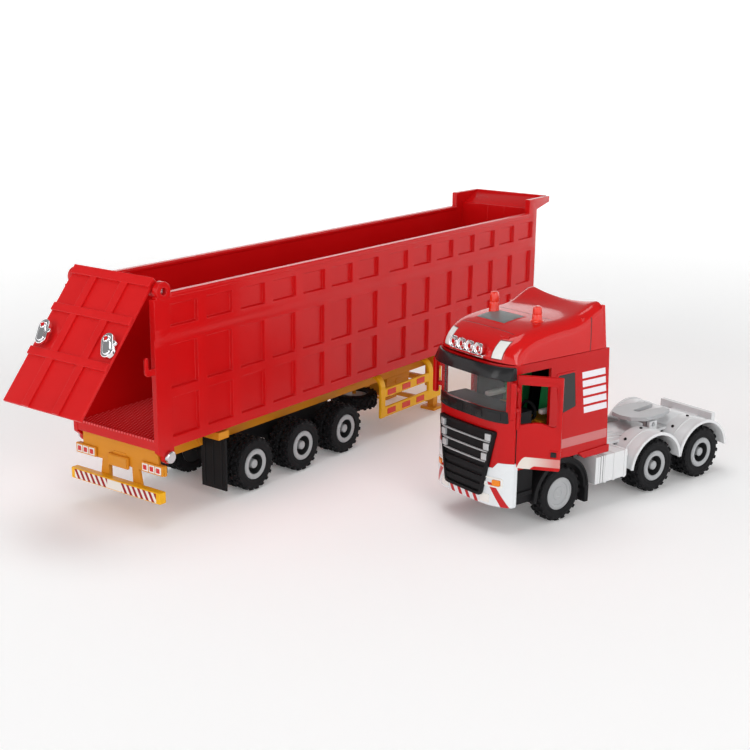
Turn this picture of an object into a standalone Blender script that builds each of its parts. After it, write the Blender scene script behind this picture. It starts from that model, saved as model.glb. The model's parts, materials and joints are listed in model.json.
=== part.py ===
"""Toy dump truck: a die-cast tractor parked beside its three-axle tipping semi-trailer.

Sizes are in millimetres and are scaled to metres when a mesh is made. The trailer is modelled with
X forward from the rear post, Y to its left and Z up from the floor; the tractor has a frame of its
own, with X forward from the front axle. The origin is the middle of the whole footprint.
"""
import math

import bmesh
import bpy
from mathutils import Matrix, Vector

MM = 0.001
GAP = 0.3                       # clearance between neighbouring pieces

# where the two vehicles stand
FOOTPRINT_MID = (212.264, -119.574)         # middle of the footprint, in trailer coordinates
TRACTOR_AT = (176.1, -200.2)               # middle of the tractor's front axle
TRACTOR_HEADING = 163.9                    # degrees from the trailer's forward direction

# wheels, shared by both vehicles
TYRE_R = 18.8
RIM_R = 11.0
AXLE_Z = TYRE_R
SHAFT_R = 2.0

# trailer
TUB_HALF = 40.0                 # outer half width of the tub
WALL = 3.8
TUB_REAR = -4.5
TUB_FRONT = 466.0
TUB_BOTTOM = 52.3
TUB_TOP = 152.2
FLOOR = (54.7, 59.0)
CHEEK_REAR = 451.0
CHEEK_TOP = 164.9
VISOR_TIP = 488.0
TILT_AXIS = (4.6, 46.9)         # x, z of the rod on which the tub tips
GATE_AXIS = (3.9, 154.3)        # x, z of the rod on which the tailgate hangs
GATE_LENGTH = 94.8
GATE_HALF = 35.7
GATE_FACE = 8.4                 # outer face of the gate, behind its rod
GATE_OPEN = 40.0                # degrees open as modelled
LATCH_DOWN = 42.5               # latch pivot below the gate's rod, along the gate
LATCH_Y = 29.0
LATCH_LEAN = (-18.0, -31.0)     # degrees each latch has turned towards the right, as modelled
TRAILER_AXLES = (87.3, 138.8, 189.1)
TRAILER_TYRE_Y = (20.5, 39.5)
RAIL_Y = (13.0, 17.0)
RAIL_Z = (36.0, 50.4)
RAM_X = 474.0
RAM_Z = (46.0, 150.0)           # lower and upper pivots of the hoist ram
RAM_RADII = (5.5, 4.5, 3.5, 2.5)
LEG_X = 327.0
LEG_Y = 25.0

# tractor
CAB_HALF = 35.6
CAB_FRONT = 52.5
CAB_BOW = 8.0                   # how far the cab's front corners fall back
DOOR_HINGE = (42.4, 35.6)
DOOR_X = (14.7, 42.4)
DOOR_Z = (46.0, 106.0)
DOOR_OPEN = 52.0                # degrees open as modelled, left door
REAR_AXLES = (-93.3, -143.3)
TRACTOR_AXLES = (0.0,) + REAR_AXLES
FRONT_TYRE_Y = (24.0, 35.0)
REAR_TYRE_Y = (16.0, 35.0)
FIFTH_AXIS = (-112.0, 40.5)

# material name: colour, roughness, metallic
FINISHES = {
    "red_paint": ((0.62, 0.012, 0.015), 0.28, 0.0),
    "orange_paint": ((0.62, 0.23, 0.02), 0.4, 0.0),
    "yellow_plastic": ((0.9, 0.5, 0.02), 0.4, 0.0),
    "black_plastic": ((0.012, 0.012, 0.013), 0.5, 0.0),
    "tyre_rubber": ((0.014, 0.014, 0.014), 0.75, 0.0),
    "rim_grey": ((0.42, 0.43, 0.44), 0.4, 0.3),
    "silver_plastic": ((0.72, 0.72, 0.74), 0.4, 0.1),
    "white_plastic": ((0.85, 0.85, 0.86), 0.35, 0.0),
    "chrome": ((0.85, 0.85, 0.86), 0.12, 1.0),
    "steel": ((0.6, 0.6, 0.62), 0.3, 1.0),
    "clear_plastic": ((0.9, 0.93, 0.95), 0.05, 0.0),
    "lamp_red": ((0.7, 0.03, 0.01), 0.15, 0.0),
    "green_plastic": ((0.02, 0.2, 0.06), 0.45, 0.0),
}


for old in list(bpy.data.objects):
    bpy.data.objects.remove(old)


# ---- small shaping tools -------------------------------------------------------------------------

def finish(name):
    """The named material, made the first time it is asked for."""
    if name in bpy.data.materials:
        return bpy.data.materials[name]
    colour, roughness, metallic = FINISHES[name]
    material = bpy.data.materials.new(name)
    material.use_nodes = True
    shader = material.node_tree.nodes["Principled BSDF"]
    shader.inputs["Base Color"].default_value = (*colour, 1.0)
    shader.inputs["Roughness"].default_value = roughness
    shader.inputs["Metallic"].default_value = metallic
    return material


def solid(bm):
    """A hidden helper object from a bmesh in millimetres."""
    bmesh.ops.recalc_face_normals(bm, faces=bm.faces)
    mesh = bpy.data.meshes.new("solid")
    bm.to_mesh(mesh)
    bm.free()
    obj = bpy.data.objects.new("solid", mesh)
    bpy.context.scene.collection.objects.link(obj)
    return obj


def block(x, y, z):
    """A box between the given pairs of limits."""
    bm = bmesh.new()
    bmesh.ops.create_cube(bm, size=1.0)
    size = [hi - lo for lo, hi in (x, y, z)]
    middle = [(lo + hi) / 2 for lo, hi in (x, y, z)]
    bmesh.ops.scale(bm, vec=size, verts=bm.verts)
    bmesh.ops.translate(bm, vec=middle, verts=bm.verts)
    return solid(bm)


def prism(outline, limits, along="Y"):
    """An outline extruded along one axis: (x, z) along Y, (x, y) along Z, (y, z) along X."""
    lo, hi = limits
    corner = {
        "Y": lambda a, b: (a, lo, b),
        "Z": lambda a, b: (a, b, lo),
        "X": lambda a, b: (lo, a, b),
    }[along]
    travel = {"Y": (0, hi - lo, 0), "Z": (0, 0, hi - lo), "X": (hi - lo, 0, 0)}[along]
    bm = bmesh.new()
    face = bm.faces.new([bm.verts.new(corner(a, b)) for a, b in outline])
    grown = bmesh.ops.extrude_face_region(bm, geom=[face])["geom"]
    tips = [item for item in grown if isinstance(item, bmesh.types.BMVert)]
    bmesh.ops.translate(bm, vec=travel, verts=tips)
    return solid(bm)


def turned(profile, at, along="Y", steps=20):
    """A profile of (distance along the axis, radius) turned about an axis through the point at."""
    bm = bmesh.new()
    verts = [bm.verts.new((radius, distance, 0)) for distance, radius in profile]
    edges = [bm.edges.new((a, b)) for a, b in zip(verts, verts[1:])]
    closed = profile[0][1] > 0
    if closed:
        edges.append(bm.edges.new((verts[-1], verts[0])))
    bmesh.ops.spin(bm, geom=verts + edges, cent=(0, 0, 0), axis=(0, 1, 0), angle=math.tau,
                   steps=steps, use_merge=True)
    bmesh.ops.remove_doubles(bm, verts=bm.verts, dist=0.001)
    turn = {
        "Y": Matrix.Identity(3),
        "Z": Matrix.Rotation(math.pi / 2, 3, "X"),
        "X": Matrix.Rotation(-math.pi / 2, 3, "Z"),
    }[along]
    bmesh.ops.rotate(bm, cent=(0, 0, 0), matrix=turn, verts=bm.verts)
    bmesh.ops.translate(bm, vec=at, verts=bm.verts)
    return solid(bm)


def rod(radius, limits, at, along="Y", steps=12):
    """A plain round bar along one axis; at gives its other two coordinates, in order."""
    lo, hi = limits
    point = {"Y": (at[0], 0, at[1]), "Z": (at[0], at[1], 0), "X": (0, at[0], at[1])}[along]
    return turned([(lo, 0), (lo, radius), (hi, radius), (hi, 0)], point, along, steps)


def ring(inner, outer, limits, at, along="Y", steps=12):
    """A plain tube along one axis."""
    lo, hi = limits
    point = {"Y": (at[0], 0, at[1]), "Z": (at[0], at[1], 0), "X": (0, at[0], at[1])}[along]
    return turned([(lo, inner), (lo, outer), (hi, outer), (hi, inner)], point, along, steps)


def combine(base, others, operation):
    """Boolean of base with each of the others, which are used up."""
    for other in others:
        step = base.modifiers.new("cut", "BOOLEAN")
        step.operation = operation
        step.solver = "EXACT"
        step.object = other
        bpy.context.view_layer.update()
        evaluated = base.evaluated_get(bpy.context.evaluated_depsgraph_get())
        mesh = bpy.data.meshes.new_from_object(evaluated)
        base.modifiers.clear()
        base.data = mesh
        bpy.data.objects.remove(other)
    return base


def fuse(base, *others):
    return combine(base, others, "UNION")


def carve(base, *others):
    return combine(base, others, "DIFFERENCE")


def trim(base, *others):
    return combine(base, others, "INTERSECT")


def both_sides(maker):
    """A shape and its mirror image across the XZ plane, fused when they meet."""
    left, right = maker(), maker()
    right.data.transform(Matrix.Scale(-1, 4, (0, 1, 0)))
    right.data.flip_normals()
    return left, right


def mirrored(obj):
    """Turn a shape into its mirror image across the XZ plane."""
    obj.data.transform(Matrix.Scale(-1, 4, (0, 1, 0)))
    obj.data.flip_normals()
    return obj


def place(name, parent, at=(0, 0, 0), turn=(0, 0, 0)):
    """An empty in millimetres and degrees, for parts that share a place or a joint axis."""
    empty = bpy.data.objects.new(name, None)
    empty.empty_display_size = 0.01
    empty.parent = parent
    empty.location = Vector(at) * MM
    empty.rotation_euler = [math.radians(angle) for angle in turn]
    bpy.context.scene.collection.objects.link(empty)
    return empty


def part(name, shape, material, parent, origin=(0, 0, 0)):
    """Name a finished shape, scale it to metres and hang it on its parent, with its own origin."""
    mesh = shape.data
    tidy = bmesh.new()
    tidy.from_mesh(mesh)
    bmesh.ops.remove_doubles(tidy, verts=tidy.verts, dist=0.02)
    bmesh.ops.dissolve_degenerate(tidy, edges=tidy.edges, dist=0.01)
    tidy.to_mesh(mesh)
    tidy.free()
    mesh.transform(Matrix.Scale(MM, 4) @ Matrix.Translation(-Vector(origin)))
    mesh.materials.clear()
    mesh.materials.append(finish(material))
    mesh.shade_smooth()
    mesh.set_sharp_from_angle(angle=math.radians(35))
    mesh.name = name
    shape.name = name
    shape.parent = parent
    shape.location = Vector(origin) * MM
    return shape


def arc(centre, radius, start, stop, steps, squash=1.0):
    """Points of an arc in degrees; squash flattens it along the second coordinate."""
    points = []
    for index in range(steps + 1):
        angle = math.radians(start + (stop - start) * index / steps)
        points.append((centre[0] + radius * math.cos(angle),
                       centre[1] + radius * math.sin(angle) * squash))
    return points


# ---- wheels --------------------------------------------------------------------------------------

def tyre(limits, dual):
    """One tyre, or a pair moulded together, turned about its axle, with a flat facet underneath."""
    lo, hi = limits
    shoulder = 1.6
    facets = 16
    tread = TYRE_R / math.cos(math.pi / facets)
    outline = [(lo, RIM_R + 2 * GAP), (lo, tread - shoulder), (lo + shoulder, tread)]
    if dual:
        middle = (lo + hi) / 2
        outline += [(middle - 1.5, tread), (middle, tread - 3.5), (middle + 1.5, tread)]
    outline += [(hi - shoulder, tread), (hi, tread - shoulder), (hi, RIM_R + 2 * GAP)]
    shape = turned(outline, (0, 0, 0), steps=facets)
    shape.data.transform(Matrix.Rotation(math.pi / facets, 4, "Y"))
    return shape


def wheelset(limits, dish):
    """A shaft with a rim at each end, one turned piece; dish is the depth of the rim's bowl."""
    lo, hi = limits
    half = [(lo, SHAFT_R), (lo, RIM_R), (hi, RIM_R), (hi - dish, 4.5), (hi - 1.0, 3.5),
            (hi - 1.0, 0)]
    shape = turned([(-distance, radius) for distance, radius in reversed(half)] + half,
                   (0, 0, 0), steps=16)
    shape.data.transform(Matrix.Rotation(math.pi / 16, 4, "Y"))
    return shape


def axle(name, parent, x, limits, dual, dish):
    """An axle place with its rims and its two tyres."""
    hub = place(name + "_axis", parent, (x, 0, AXLE_Z))
    part(name + "_wheelset", wheelset(limits, dish), "rim_grey", hub)
    part(name + "_tyre_left", tyre(limits, dual), "tyre_rubber", hub)
    part(name + "_tyre_right", mirrored(tyre(limits, dual)), "tyre_rubber", hub)


# ---- trailer chassis -----------------------------------------------------------------------------

def chassis_frame():
    """Two rails and a gooseneck plate, with outriggers, hoist ears, spare carrier and kingpin."""
    frame = block((312, 465.6), (-28, 28), (47.4, 51.4))
    rails = both_sides(lambda: block((2.0, 330), RAIL_Y, RAIL_Z))
    braces = [block((x, x + 5), (-RAIL_Y[0] - 1, RAIL_Y[0] + 1), (40, 48))
              for x in (20, 66, 212, 290)]
    outriggers = both_sides(lambda: block((51, 61), (RAIL_Y[1] - 1, 39), (45.3, RAIL_Z[1])))
    ears = both_sides(lambda: block((464, 479.5), (7.0, 9.5), (41.5, 51.4)))
    carrier = block((247.5, 252.5), (-RAIL_Y[0] - 1, RAIL_Y[0] + 1), (34, 44))
    hanger = rod(1.5, (14, 36), (250, 0), "Z")
    kingpin = turned([(40.8, 0), (40.8, 3.2), (42.4, 3.2), (42.4, 2.3), (48, 2.3), (48, 0)],
                     (425, 0, 0), "Z", 12)
    fuse(frame, *rails, *braces, *outriggers, *ears, carrier, hanger, kingpin)
    bore = rod(SHAFT_R + GAP, (-20, 20), TILT_AXIS)
    pivot = rod(1.6 + GAP, (-12, 12), (RAM_X, RAM_Z[0]))
    notch = block((463.4, 470), (-6.8, 6.8), (46, 53))
    return carve(frame, bore, pivot, notch)


def rear_board():
    """The panel that closes the chassis, wider below the tub's ears, with two bumper struts."""
    board = block((-1.0, 1.4), (-35.4, 35.4), (40, 51.4))
    lower = block((-1.0, 1.4), (-41, 41), (35, 41.9))
    struts = both_sides(lambda: prism([(11, 36), (17, 36), (20, 19.5), (11.5, 19.5)], (-1.0, 1.4), "X"))
    return fuse(board, lower, *struts)


def suspension_carrier():
    """Two hanger plates that carry the three shafts, tied by cross tubes."""
    def plate():
        top = [(74, 35.7), (202, 35.7)]
        teeth = []
        for x in reversed(TRAILER_AXLES):
            teeth += [(x + 7, 24), (x + 5, 14), (x - 5, 14), (x - 7, 24)]
        return prism(top + [(202, 24)] + teeth + [(74, 24)], (7, 11))
    sides = both_sides(plate)
    ties = [rod(2.5, (-9, 9), (x, 30)) for x in (112, 164)]
    whole = fuse(sides[0], sides[1], *ties)
    return carve(whole, *[rod(SHAFT_R + GAP, (-15, 15), (x, AXLE_Z)) for x in TRAILER_AXLES])


def side_guard():
    """The ladder-shaped guard between the axles and the legs, on the left side."""
    y = (36.8, 38.6)
    lower = block((234, 318), y, (15.5, 22.5))
    upper = block((234, 318), y, (31.5, 38))
    posts = [block((x, x + 5.5), y, (15.5, 47)) for x in (234, 300)]
    arms = [block((x, x + 5.5), (RAIL_Y[1] + GAP, 38.6), (45.5, 50)) for x in (234, 300)]
    return fuse(lower, upper, *posts, *arms)


def landing_gear_frame():
    """Two square leg tubes joined by a shaft box, hung under the gooseneck plate."""
    tubes = both_sides(lambda: block((LEG_X - 5, LEG_X + 5), (LEG_Y - 5, LEG_Y + 5), (20, 47.1)))
    tie = block((LEG_X - 2, LEG_X + 2), (-LEG_Y, LEG_Y), (22.5, 27))
    hollows = both_sides(lambda: block((LEG_X - 3.3, LEG_X + 3.3), (LEG_Y - 3.3, LEG_Y + 3.3),
                                       (15, 45)))
    return carve(fuse(tubes[0], tubes[1], tie), *hollows)


def landing_feet():
    """The inner legs with their pads, tied so that one crank drives both."""
    legs = both_sides(lambda: block((LEG_X - 3, LEG_X + 3), (LEG_Y - 3, LEG_Y + 3), (1, 31)))
    pads = both_sides(lambda: block((LEG_X - 8, LEG_X + 8), (LEG_Y - 7, LEG_Y + 7), (0, 2.5)))
    tie = block((LEG_X - 1.5, LEG_X + 1.5), (-LEG_Y, LEG_Y), (4.5, 8))
    return fuse(tie, *legs, *pads)


def ram_stage(index):
    """One tube of the hoist: the barrel is 0, and the last, solid rod is 3."""
    radius = RAM_RADII[index]
    bottom, top = RAM_Z[0] + 4 + 1.5 * index, RAM_Z[0] + 92 + 1.5 * index
    if index == len(RAM_RADII) - 1:
        shaft = rod(radius, (bottom, RAM_Z[1] - 2), (RAM_X, 0), "Z")
        return fuse(shaft, rod(3.4, (-4.5, 4.5), (RAM_X, RAM_Z[1])))
    bore = RAM_RADII[index + 1] + GAP
    tube = turned([(bottom, 0), (bottom, radius), (top, radius), (top, bore), (bottom + 1.2, bore),
                   (bottom + 1.2, 0)], (RAM_X, 0, 0), "Z", 12)
    if index == 0:
        fuse(tube, rod(4.4, (-6.5, 6.5), (RAM_X, RAM_Z[0])), rod(1.6, (-11, 11), (RAM_X, RAM_Z[0])))
    return tube


# ---- tub and tailgate ----------------------------------------------------------------------------

def recess_cutter(x0, x1, z0, z1):
    """A slab that sinks one panel into both side walls."""
    depth = 2.2
    return both_sides(lambda: block((x0, x1), (TUB_HALF - depth, TUB_HALF + 2), (z0, z1)))


def dump_body():
    """The tub: walls with sunk panels, floor, front wall with its hoist well, headboard and hooks."""
    def wall():
        ear = arc(TILT_AXIS, 4.6, 180, 360, 6)
        lug = arc(GATE_AXIS, 6.0, -5, 190, 8)
        plate = prism([(TUB_REAR, 51), *ear, (9.4, TUB_BOTTOM), (TUB_FRONT, TUB_BOTTOM),
                       (TUB_FRONT, 155), (VISOR_TIP, 159.8), (VISOR_TIP, CHEEK_TOP),
                       (CHEEK_REAR, CHEEK_TOP), (CHEEK_REAR, TUB_TOP), (11.5, TUB_TOP),
                       *lug, (TUB_REAR, 149)], (TUB_HALF - WALL, TUB_HALF))
        hook = prism([(TUB_REAR + 1, 107), (-9.3, 107), (-9.3, 114.5), (-12.7, 114.5),
                      (-12.7, 105), (-10.5, 103), (TUB_REAR + 1, 103)], (38.1, 39.8))
        return fuse(plate, hook)

    inner = TUB_HALF - WALL + 0.5
    floor = block((-3, TUB_FRONT - 1.6), (-inner, inner), FLOOR)
    front = block((TUB_FRONT - 4.5, TUB_FRONT - 0.4), (-inner, inner), (TUB_BOTTOM + 0.4, 155.6))
    visor = prism([(TUB_FRONT - 3.5, 150), (VISOR_TIP - 0.4, 160.4), (VISOR_TIP - 0.4, 164.4),
                   (VISOR_TIP - 2.5, 164.4), (TUB_FRONT - 3.5, 154.5)], (-inner, inner))
    well = prism([(TUB_FRONT - 1, 56), (445, 56), (457, 128), (TUB_FRONT - 1, 142)],
                 (-11.5, 11.5))
    ears = both_sides(lambda: prism([(TUB_FRONT - 1.5, 143), (478.5, 145.5), (478.5, 158),
                                     (TUB_FRONT - 1.5, 154)], (6.0, 8.8)))
    body = fuse(wall(), floor, mirrored(wall()), front, visor, well, *ears)
    carve(body, prism([(TUB_FRONT + 1, 40), (448.5, 40), (448.5, 57), (460.5, 126),
                       (TUB_FRONT + 1, 138)], (-8.5, 8.5)))
    for x, z in (GATE_AXIS, TILT_AXIS):
        carve(body, rod(SHAFT_R + GAP, (-TUB_HALF - 1, TUB_HALF + 1), (x, z)))
    for column in range(14):
        right = 33.0 + 32.2 * column + (6.0 if column > 6 else 0.0)
        left = right - 24.2
        for low, high in ((58.6, 85.0), (91.0, 119.5), (131.0, 145.5)):
            carve(body, *recess_cutter(left, right, low, high))
    return body


def tailgate():
    """The gate, closed and hanging from its rod at the origin: X forward, Z up."""
    plate = block((-GATE_FACE + 1.2, -GATE_FACE + 3.4), (-GATE_HALF, GATE_HALF), (-GATE_LENGTH, 4.3))
    flange = block((-GATE_FACE + 1.5, 0), (-GATE_HALF + 0.2, GATE_HALF - 0.2), (1.8, 4.1))
    barrel = rod(4.4, (-GATE_HALF + 0.5, GATE_HALF - 0.5), (0, 0))
    ribs = [block((-GATE_FACE, -GATE_FACE + 1.5), (-GATE_HALF, GATE_HALF), limits)
            for limits in ((-2.0, 4.3), (-29.5, -24.0), (-61.5, -56.0))]
    ribs += both_sides(lambda: block((-GATE_FACE, -GATE_FACE + 1.5), (10.8, 17.2),
                                     (-GATE_LENGTH, 4.3)))
    pins = [rod(1.0, (-GATE_FACE - 4.4, -GATE_FACE + 1.5), (side * LATCH_Y, -LATCH_DOWN), "X", 10)
            for side in (-1, 1)]
    return carve(fuse(plate, flange, barrel, *ribs, *pins), rod(SHAFT_R + GAP, (-40, 40), (0, 0)))


def latch():
    """A pierced link with round ends, which turns flat against the gate about a bore at the origin."""
    half = 4.4
    link = prism(arc((0, 0), half, 0, 180, 6) + arc((0, -8.5), half, 180, 360, 6), (-1.5, 1.5), "X")
    return carve(link, rod(1.0 + GAP, (-6, 6), (0, 0), "X", 10))


# ---- tractor -------------------------------------------------------------------------------------

def bow(y, offset=0.0):
    """Where the bowed front face stands at a distance y from the middle."""
    return CAB_FRONT + offset - CAB_BOW * (y / 35.0) ** 4


def bowed_strip(half, offset, thickness, z):
    """A plate of even thickness that follows the bowed front."""
    stations = [half * (index / 6.0 - 1.0) for index in range(13)]
    outer = [(bow(y, offset), y) for y in stations]
    inner = [(bow(y, offset - thickness), y) for y in reversed(stations)]
    return prism(outer + inner, z, "Z")


def bowed_plan(half, offset, rear):
    """The plan of the cab between its sides, from the bowed front to the rear."""
    stations = [half * (index / 6.0 - 1.0) for index in range(13)]
    return [(rear, half), (rear, -half)] + [(bow(y, offset), y) for y in stations]


def cab_shell():
    """The cab with its doorways, windscreen opening, roof and swept deflector."""
    side = [(-41.5, 40.5), (-19, 40.5), (-14, 43.6), (60, 43.6), (60, 111.5), (49.0, 111.5),
            (45, 119), (38, 127), (24, 132.5), (-6, 135.5), (-27, 143.5), (-31, 143.5),
            (-36, 112), (-38.5, 106)]
    shell = trim(prism(side, (-CAB_HALF, CAB_HALF)),
                 prism(bowed_plan(CAB_HALF, 0, -60), (30, 160), "Z"))
    room = prism(bowed_plan(32.6, -3.2, -37.5), (47.5, 108.5), "Z")
    loft = prism([(40, 108), (40, 118), (22, 128), (0, 128), (-4, 108)], (-30, 30))
    pocket = prism([(-60, 112), (-15, 112), (-9, 131.5), (-26, 140), (-60, 143)], (-31.5, 31.5))
    edges = both_sides(lambda: prism([(36.5, 116), (36.5, 140), (29.5, 140), (30.5, 134.5)],
                                     (-8, 60), "X"))
    dip_radius = 98.0
    dip = rod(dip_radius, (-60, -15), (0, 139.0 + dip_radius), "X", 36)
    doorways = both_sides(lambda: block((DOOR_X[0] - GAP, DOOR_X[1] + GAP), (30, 38),
                                        (DOOR_Z[0] - GAP, DOOR_Z[1] + GAP)))
    screen = block((40, 60), (-30.8, 30.8), (82.0, 103.0))
    return carve(shell, room, loft, pocket, *edges, dip, *doorways, screen)


def door():
    """The left door, closed, in cab coordinates, with its mirror on the front edge."""
    slab = block(DOOR_X, (33.0, CAB_HALF), DOOR_Z)
    window = prism([(17.5, 74), (25, 74), (28.5, 76.5), (31, 76.5), (39.3, 73.5), (39.3, 99),
                    (37.5, 101), (19, 101), (17.5, 99)], (30, 40))
    mirror = block((40.6, 46.2), (38.4, 42.8), (82, 101.5))
    arms = [block((40.6, 42.2), (35.0, 39.5), z) for z in ((84, 87), (96.5, 99.5))]
    return fuse(carve(slab, window), mirror, *arms)


def grille():
    """The tapered grille plate in front of the cab panel and the bumper."""
    plate = bowed_strip(26.2, 2.6, 2.2, (24.7, 68.6))
    taper = prism([(-26.2, 68.6), (26.2, 68.6), (17, 24.7), (-17, 24.7)], (30, 60), "X")
    return trim(plate, taper)


def front_bumper():
    """The bumper: a bowed skirt with side returns."""
    bumper = bowed_strip(CAB_HALF, 0.0, 3.0, (19, 43.2))
    returns = both_sides(lambda: block((36.5, bow(CAB_HALF) - 0.5), (CAB_HALF - 2.2, CAB_HALF),
                                       (19, 43.2)))
    return fuse(bumper, *returns)


def tractor_chassis():
    """Rails, cross members, wheel arches, steps and rear flaps of the front wheels, in black."""
    base = block((-30, 39), (-13, 13), (24.4, 33))
    rails = both_sides(lambda: block((-164, -20), (8, 12.5), (24, 34.2)))
    ties = [block((x, x + 6), (-9, 9), (25, 33)) for x in (-164, -121, -60)]
    beam = block((37, 41), (-33, 33), (24, 42.8))

    def arch():
        centre = (0, AXLE_Z)
        band = prism(arc(centre, 24.2, 0, 180, 10) + arc(centre, 21.6, 180, 0, 10), (23, 35.4))
        flap = block((-25.4, -22.2), (23, 35.4), (8.5, 19.5))
        step = block((24.5, 40.5), (12, 33.0), (19, 43.0))
        shelf = block((-13, 24), (12, 24), (30, 43.0))
        return carve(fuse(band, flap, step, shelf), rod(21.6, (11, 40), centre, steps=20))
    hangers = both_sides(lambda: prism([(-160, 26), (-153, 14), (-84, 14), (-76, 26)], (8.2, 12.3)))
    front_hangers = both_sides(lambda: block((-6, 6), (8.2, 12.3), (14, 26)))
    whole = fuse(base, *rails, *ties, beam, *both_sides(arch), *hangers, *front_hangers)
    bores = [rod(SHAFT_R + GAP, (-16, 16), (x, AXLE_Z)) for x in TRACTOR_AXLES]
    return carve(whole, *bores)


def rear_deck():
    """The silver deck: side tanks, catwalk, fenders over both axles and the rear cross member."""
    deck = block((-120, -31.8), (-16, 16), (34.5, 36.4))
    tanks = both_sides(lambda: block((-62.6, -31.8), (15, CAB_HALF), (18.4, 37.4)))

    def arch(x, limits, start, stop, steps=12):
        centre = (x, AXLE_Z)
        return prism(arc(centre, 25.4, start, stop, steps, 0.93)
                     + arc(centre, 23.9, stop, start, steps, 0.93), limits)

    fenders = []
    for x in REAR_AXLES:
        fenders += both_sides(lambda: arch(x, (14.5, CAB_HALF), 6, 174))
    bridge = arch(REAR_AXLES[1], (-15.5, 15.5), 50, 130, 6)
    links = both_sides(lambda: block((-70, -60), (14.5, 30), (30, 32)))
    tail = block((-170, -166), (-24, 24), (35, 41.4))
    tail_plate = block((-168, -156.5), (-12, 12), (35.4, 37.0))
    middle_plate = block((-131, -118), (-15.5, 15.5), (34.5, 36.4))
    posts = both_sides(lambda: block((-116, -108), (12.6, 15.2), (35, 43.2)))
    whole = fuse(deck, *tanks, *fenders, bridge, *links, tail, tail_plate, middle_plate, *posts)
    return carve(whole, rod(1.3 + GAP, (-18, 18), FIFTH_AXIS, steps=12))


def fifth_wheel():
    """The coupling plate with its throat, on a cross pin, in tractor coordinates."""
    x, z = FIFTH_AXIS
    plate = prism([(x + 8, 15.5), (x - 10, 15.5), (x - 22, 11), (x - 22, 5), (x - 4, 2.9),
                   *arc((x, 0), 3.0, 105, -105, 8), (x - 4, -2.9), (x - 22, -5), (x - 22, -11),
                   (x - 10, -15.5), (x + 8, -15.5), (x + 17, -9), (x + 19, 0), (x + 17, 9)],
                  (44.4, 47.2), "Z")
    lugs = both_sides(lambda: block((x - 3.5, x + 3.5), (8.5, 11.5), (38.3, 45)))
    return fuse(plate, *lugs, rod(1.3, (-15.8, 15.8), FIFTH_AXIS, steps=12))


def seat():
    """A seat in side view, extruded across."""
    return prism([(-14, 47.9), (10, 47.9), (12, 60), (-4, 60), (-8, 86), (-14, 86)], (8, 26))


def dashboard():
    """The dashboard with its steering wheel."""
    panel = trim(block((26, 60), (-31.5, 31.5), (47.9, 79.5)),
                 prism(bowed_plan(32.2, -3.6, 20), (40, 90), "Z"))
    column = rod(1.5, (16, 30), (17, 74), "X", 10)
    wheel = ring(5.4, 7.0, (14, 15.6), (17, 74), "X", 16)
    spoke = block((14.2, 16.5), (10.6, 23.4), (73, 75))
    return fuse(panel, column, spoke, wheel)


def beacon(x, y, height, flare):
    """A roof beacon: a flared foot and a domed lens."""
    base = 134.4
    radius = 3.2
    return turned([(base, 0), (base, radius + flare), (base + 2, radius), (base + height - 1.2,
                   radius - flare / 2), (base + height, radius - 1.2), (base + height, 0)],
                  (x, y, 0), "Z", 14)


def lamp_bar():
    """Four round lamps on a bar above the visor."""
    bar = block((49.6, 52.2), (-15, 15), (113.2, 115.6))
    lamps = [rod(3.9, (49.2, 53.4), (y, 117.4), "X", 10) for y in (-11.4, -3.8, 3.8, 11.4)]
    return fuse(bar, *lamps)


# ---- assembly ------------------------------------------------------------------------------------

trailer = place("trailer", None, (-FOOTPRINT_MID[0], -FOOTPRINT_MID[1], 0))

part("chassis_frame", chassis_frame(), "orange_paint", trailer)
part("rear_board", rear_board(), "orange_paint", trailer)
part("rear_bumper", block((-7, -1.3), (-42, 42), (18, 25.6)), "white_plastic", trailer)
part("number_plate", block((-3.4, -1.3), (-9, 9), (33.8, 41)), "orange_paint", trailer)
part("suspension_carrier", suspension_carrier(), "black_plastic", trailer)
part("landing_gear_frame", landing_gear_frame(), "orange_paint", trailer)
part("landing_feet", landing_feet(), "orange_paint", trailer, (LEG_X, 0, 0))
part("spare_wheel", ring(3.0, TYRE_R, (16, 27), (250, 0), "Z", 16), "tyre_rubber", trailer)
part("toolbox", block((273, 305), (-16, 12), (20, 35.4)), "orange_paint", trailer)
for side, y in (("left", 31.0), ("right", -31.0)):
    part("tail_lamps_" + side, block((-2.9, -1.3), (y - 9, y + 9), (36, 41.6)), "lamp_red", trailer)
for side, limits in (("left", (17.4, 40)), ("right", (-40, -17.4))):
    part("mud_flap_" + side, block((56.2, 57.8), limits, (8, 45)), "black_plastic", trailer)
part("side_guard_left", side_guard(), "yellow_plastic", trailer)
part("side_guard_right", mirrored(side_guard()), "yellow_plastic", trailer)
for number, x in enumerate(TRAILER_AXLES, 1):
    axle("trailer_axle_%d" % number, trailer, x, TRAILER_TYRE_Y, True, 6.0)

ram = place("ram_axis", trailer, (RAM_X, 0, RAM_Z[0]))
for index, name in enumerate(("ram_barrel", "ram_stage_1", "ram_stage_2", "ram_rod")):
    shape = ram_stage(index)
    shape.data.transform(Matrix.Translation((-RAM_X, 0, -RAM_Z[0])))
    part(name, shape, "steel", ram)

tub = place("tub_axis", trailer, (TILT_AXIS[0], 0, TILT_AXIS[1]))
tub_frame = place("tub_frame", tub, (-TILT_AXIS[0], 0, -TILT_AXIS[1]))
part("dump_body", dump_body(), "red_paint", tub_frame)
pivot_rod = turned([(-41.9, 0), (-41.9, 4), (-40.3, 4), (-40.3, SHAFT_R), (40.3, SHAFT_R),
                    (40.3, 4), (41.9, 4), (41.9, 0)], (TILT_AXIS[0], 0, TILT_AXIS[1]), steps=14)
part("body_pivot_rod", pivot_rod, "steel", trailer)

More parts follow.
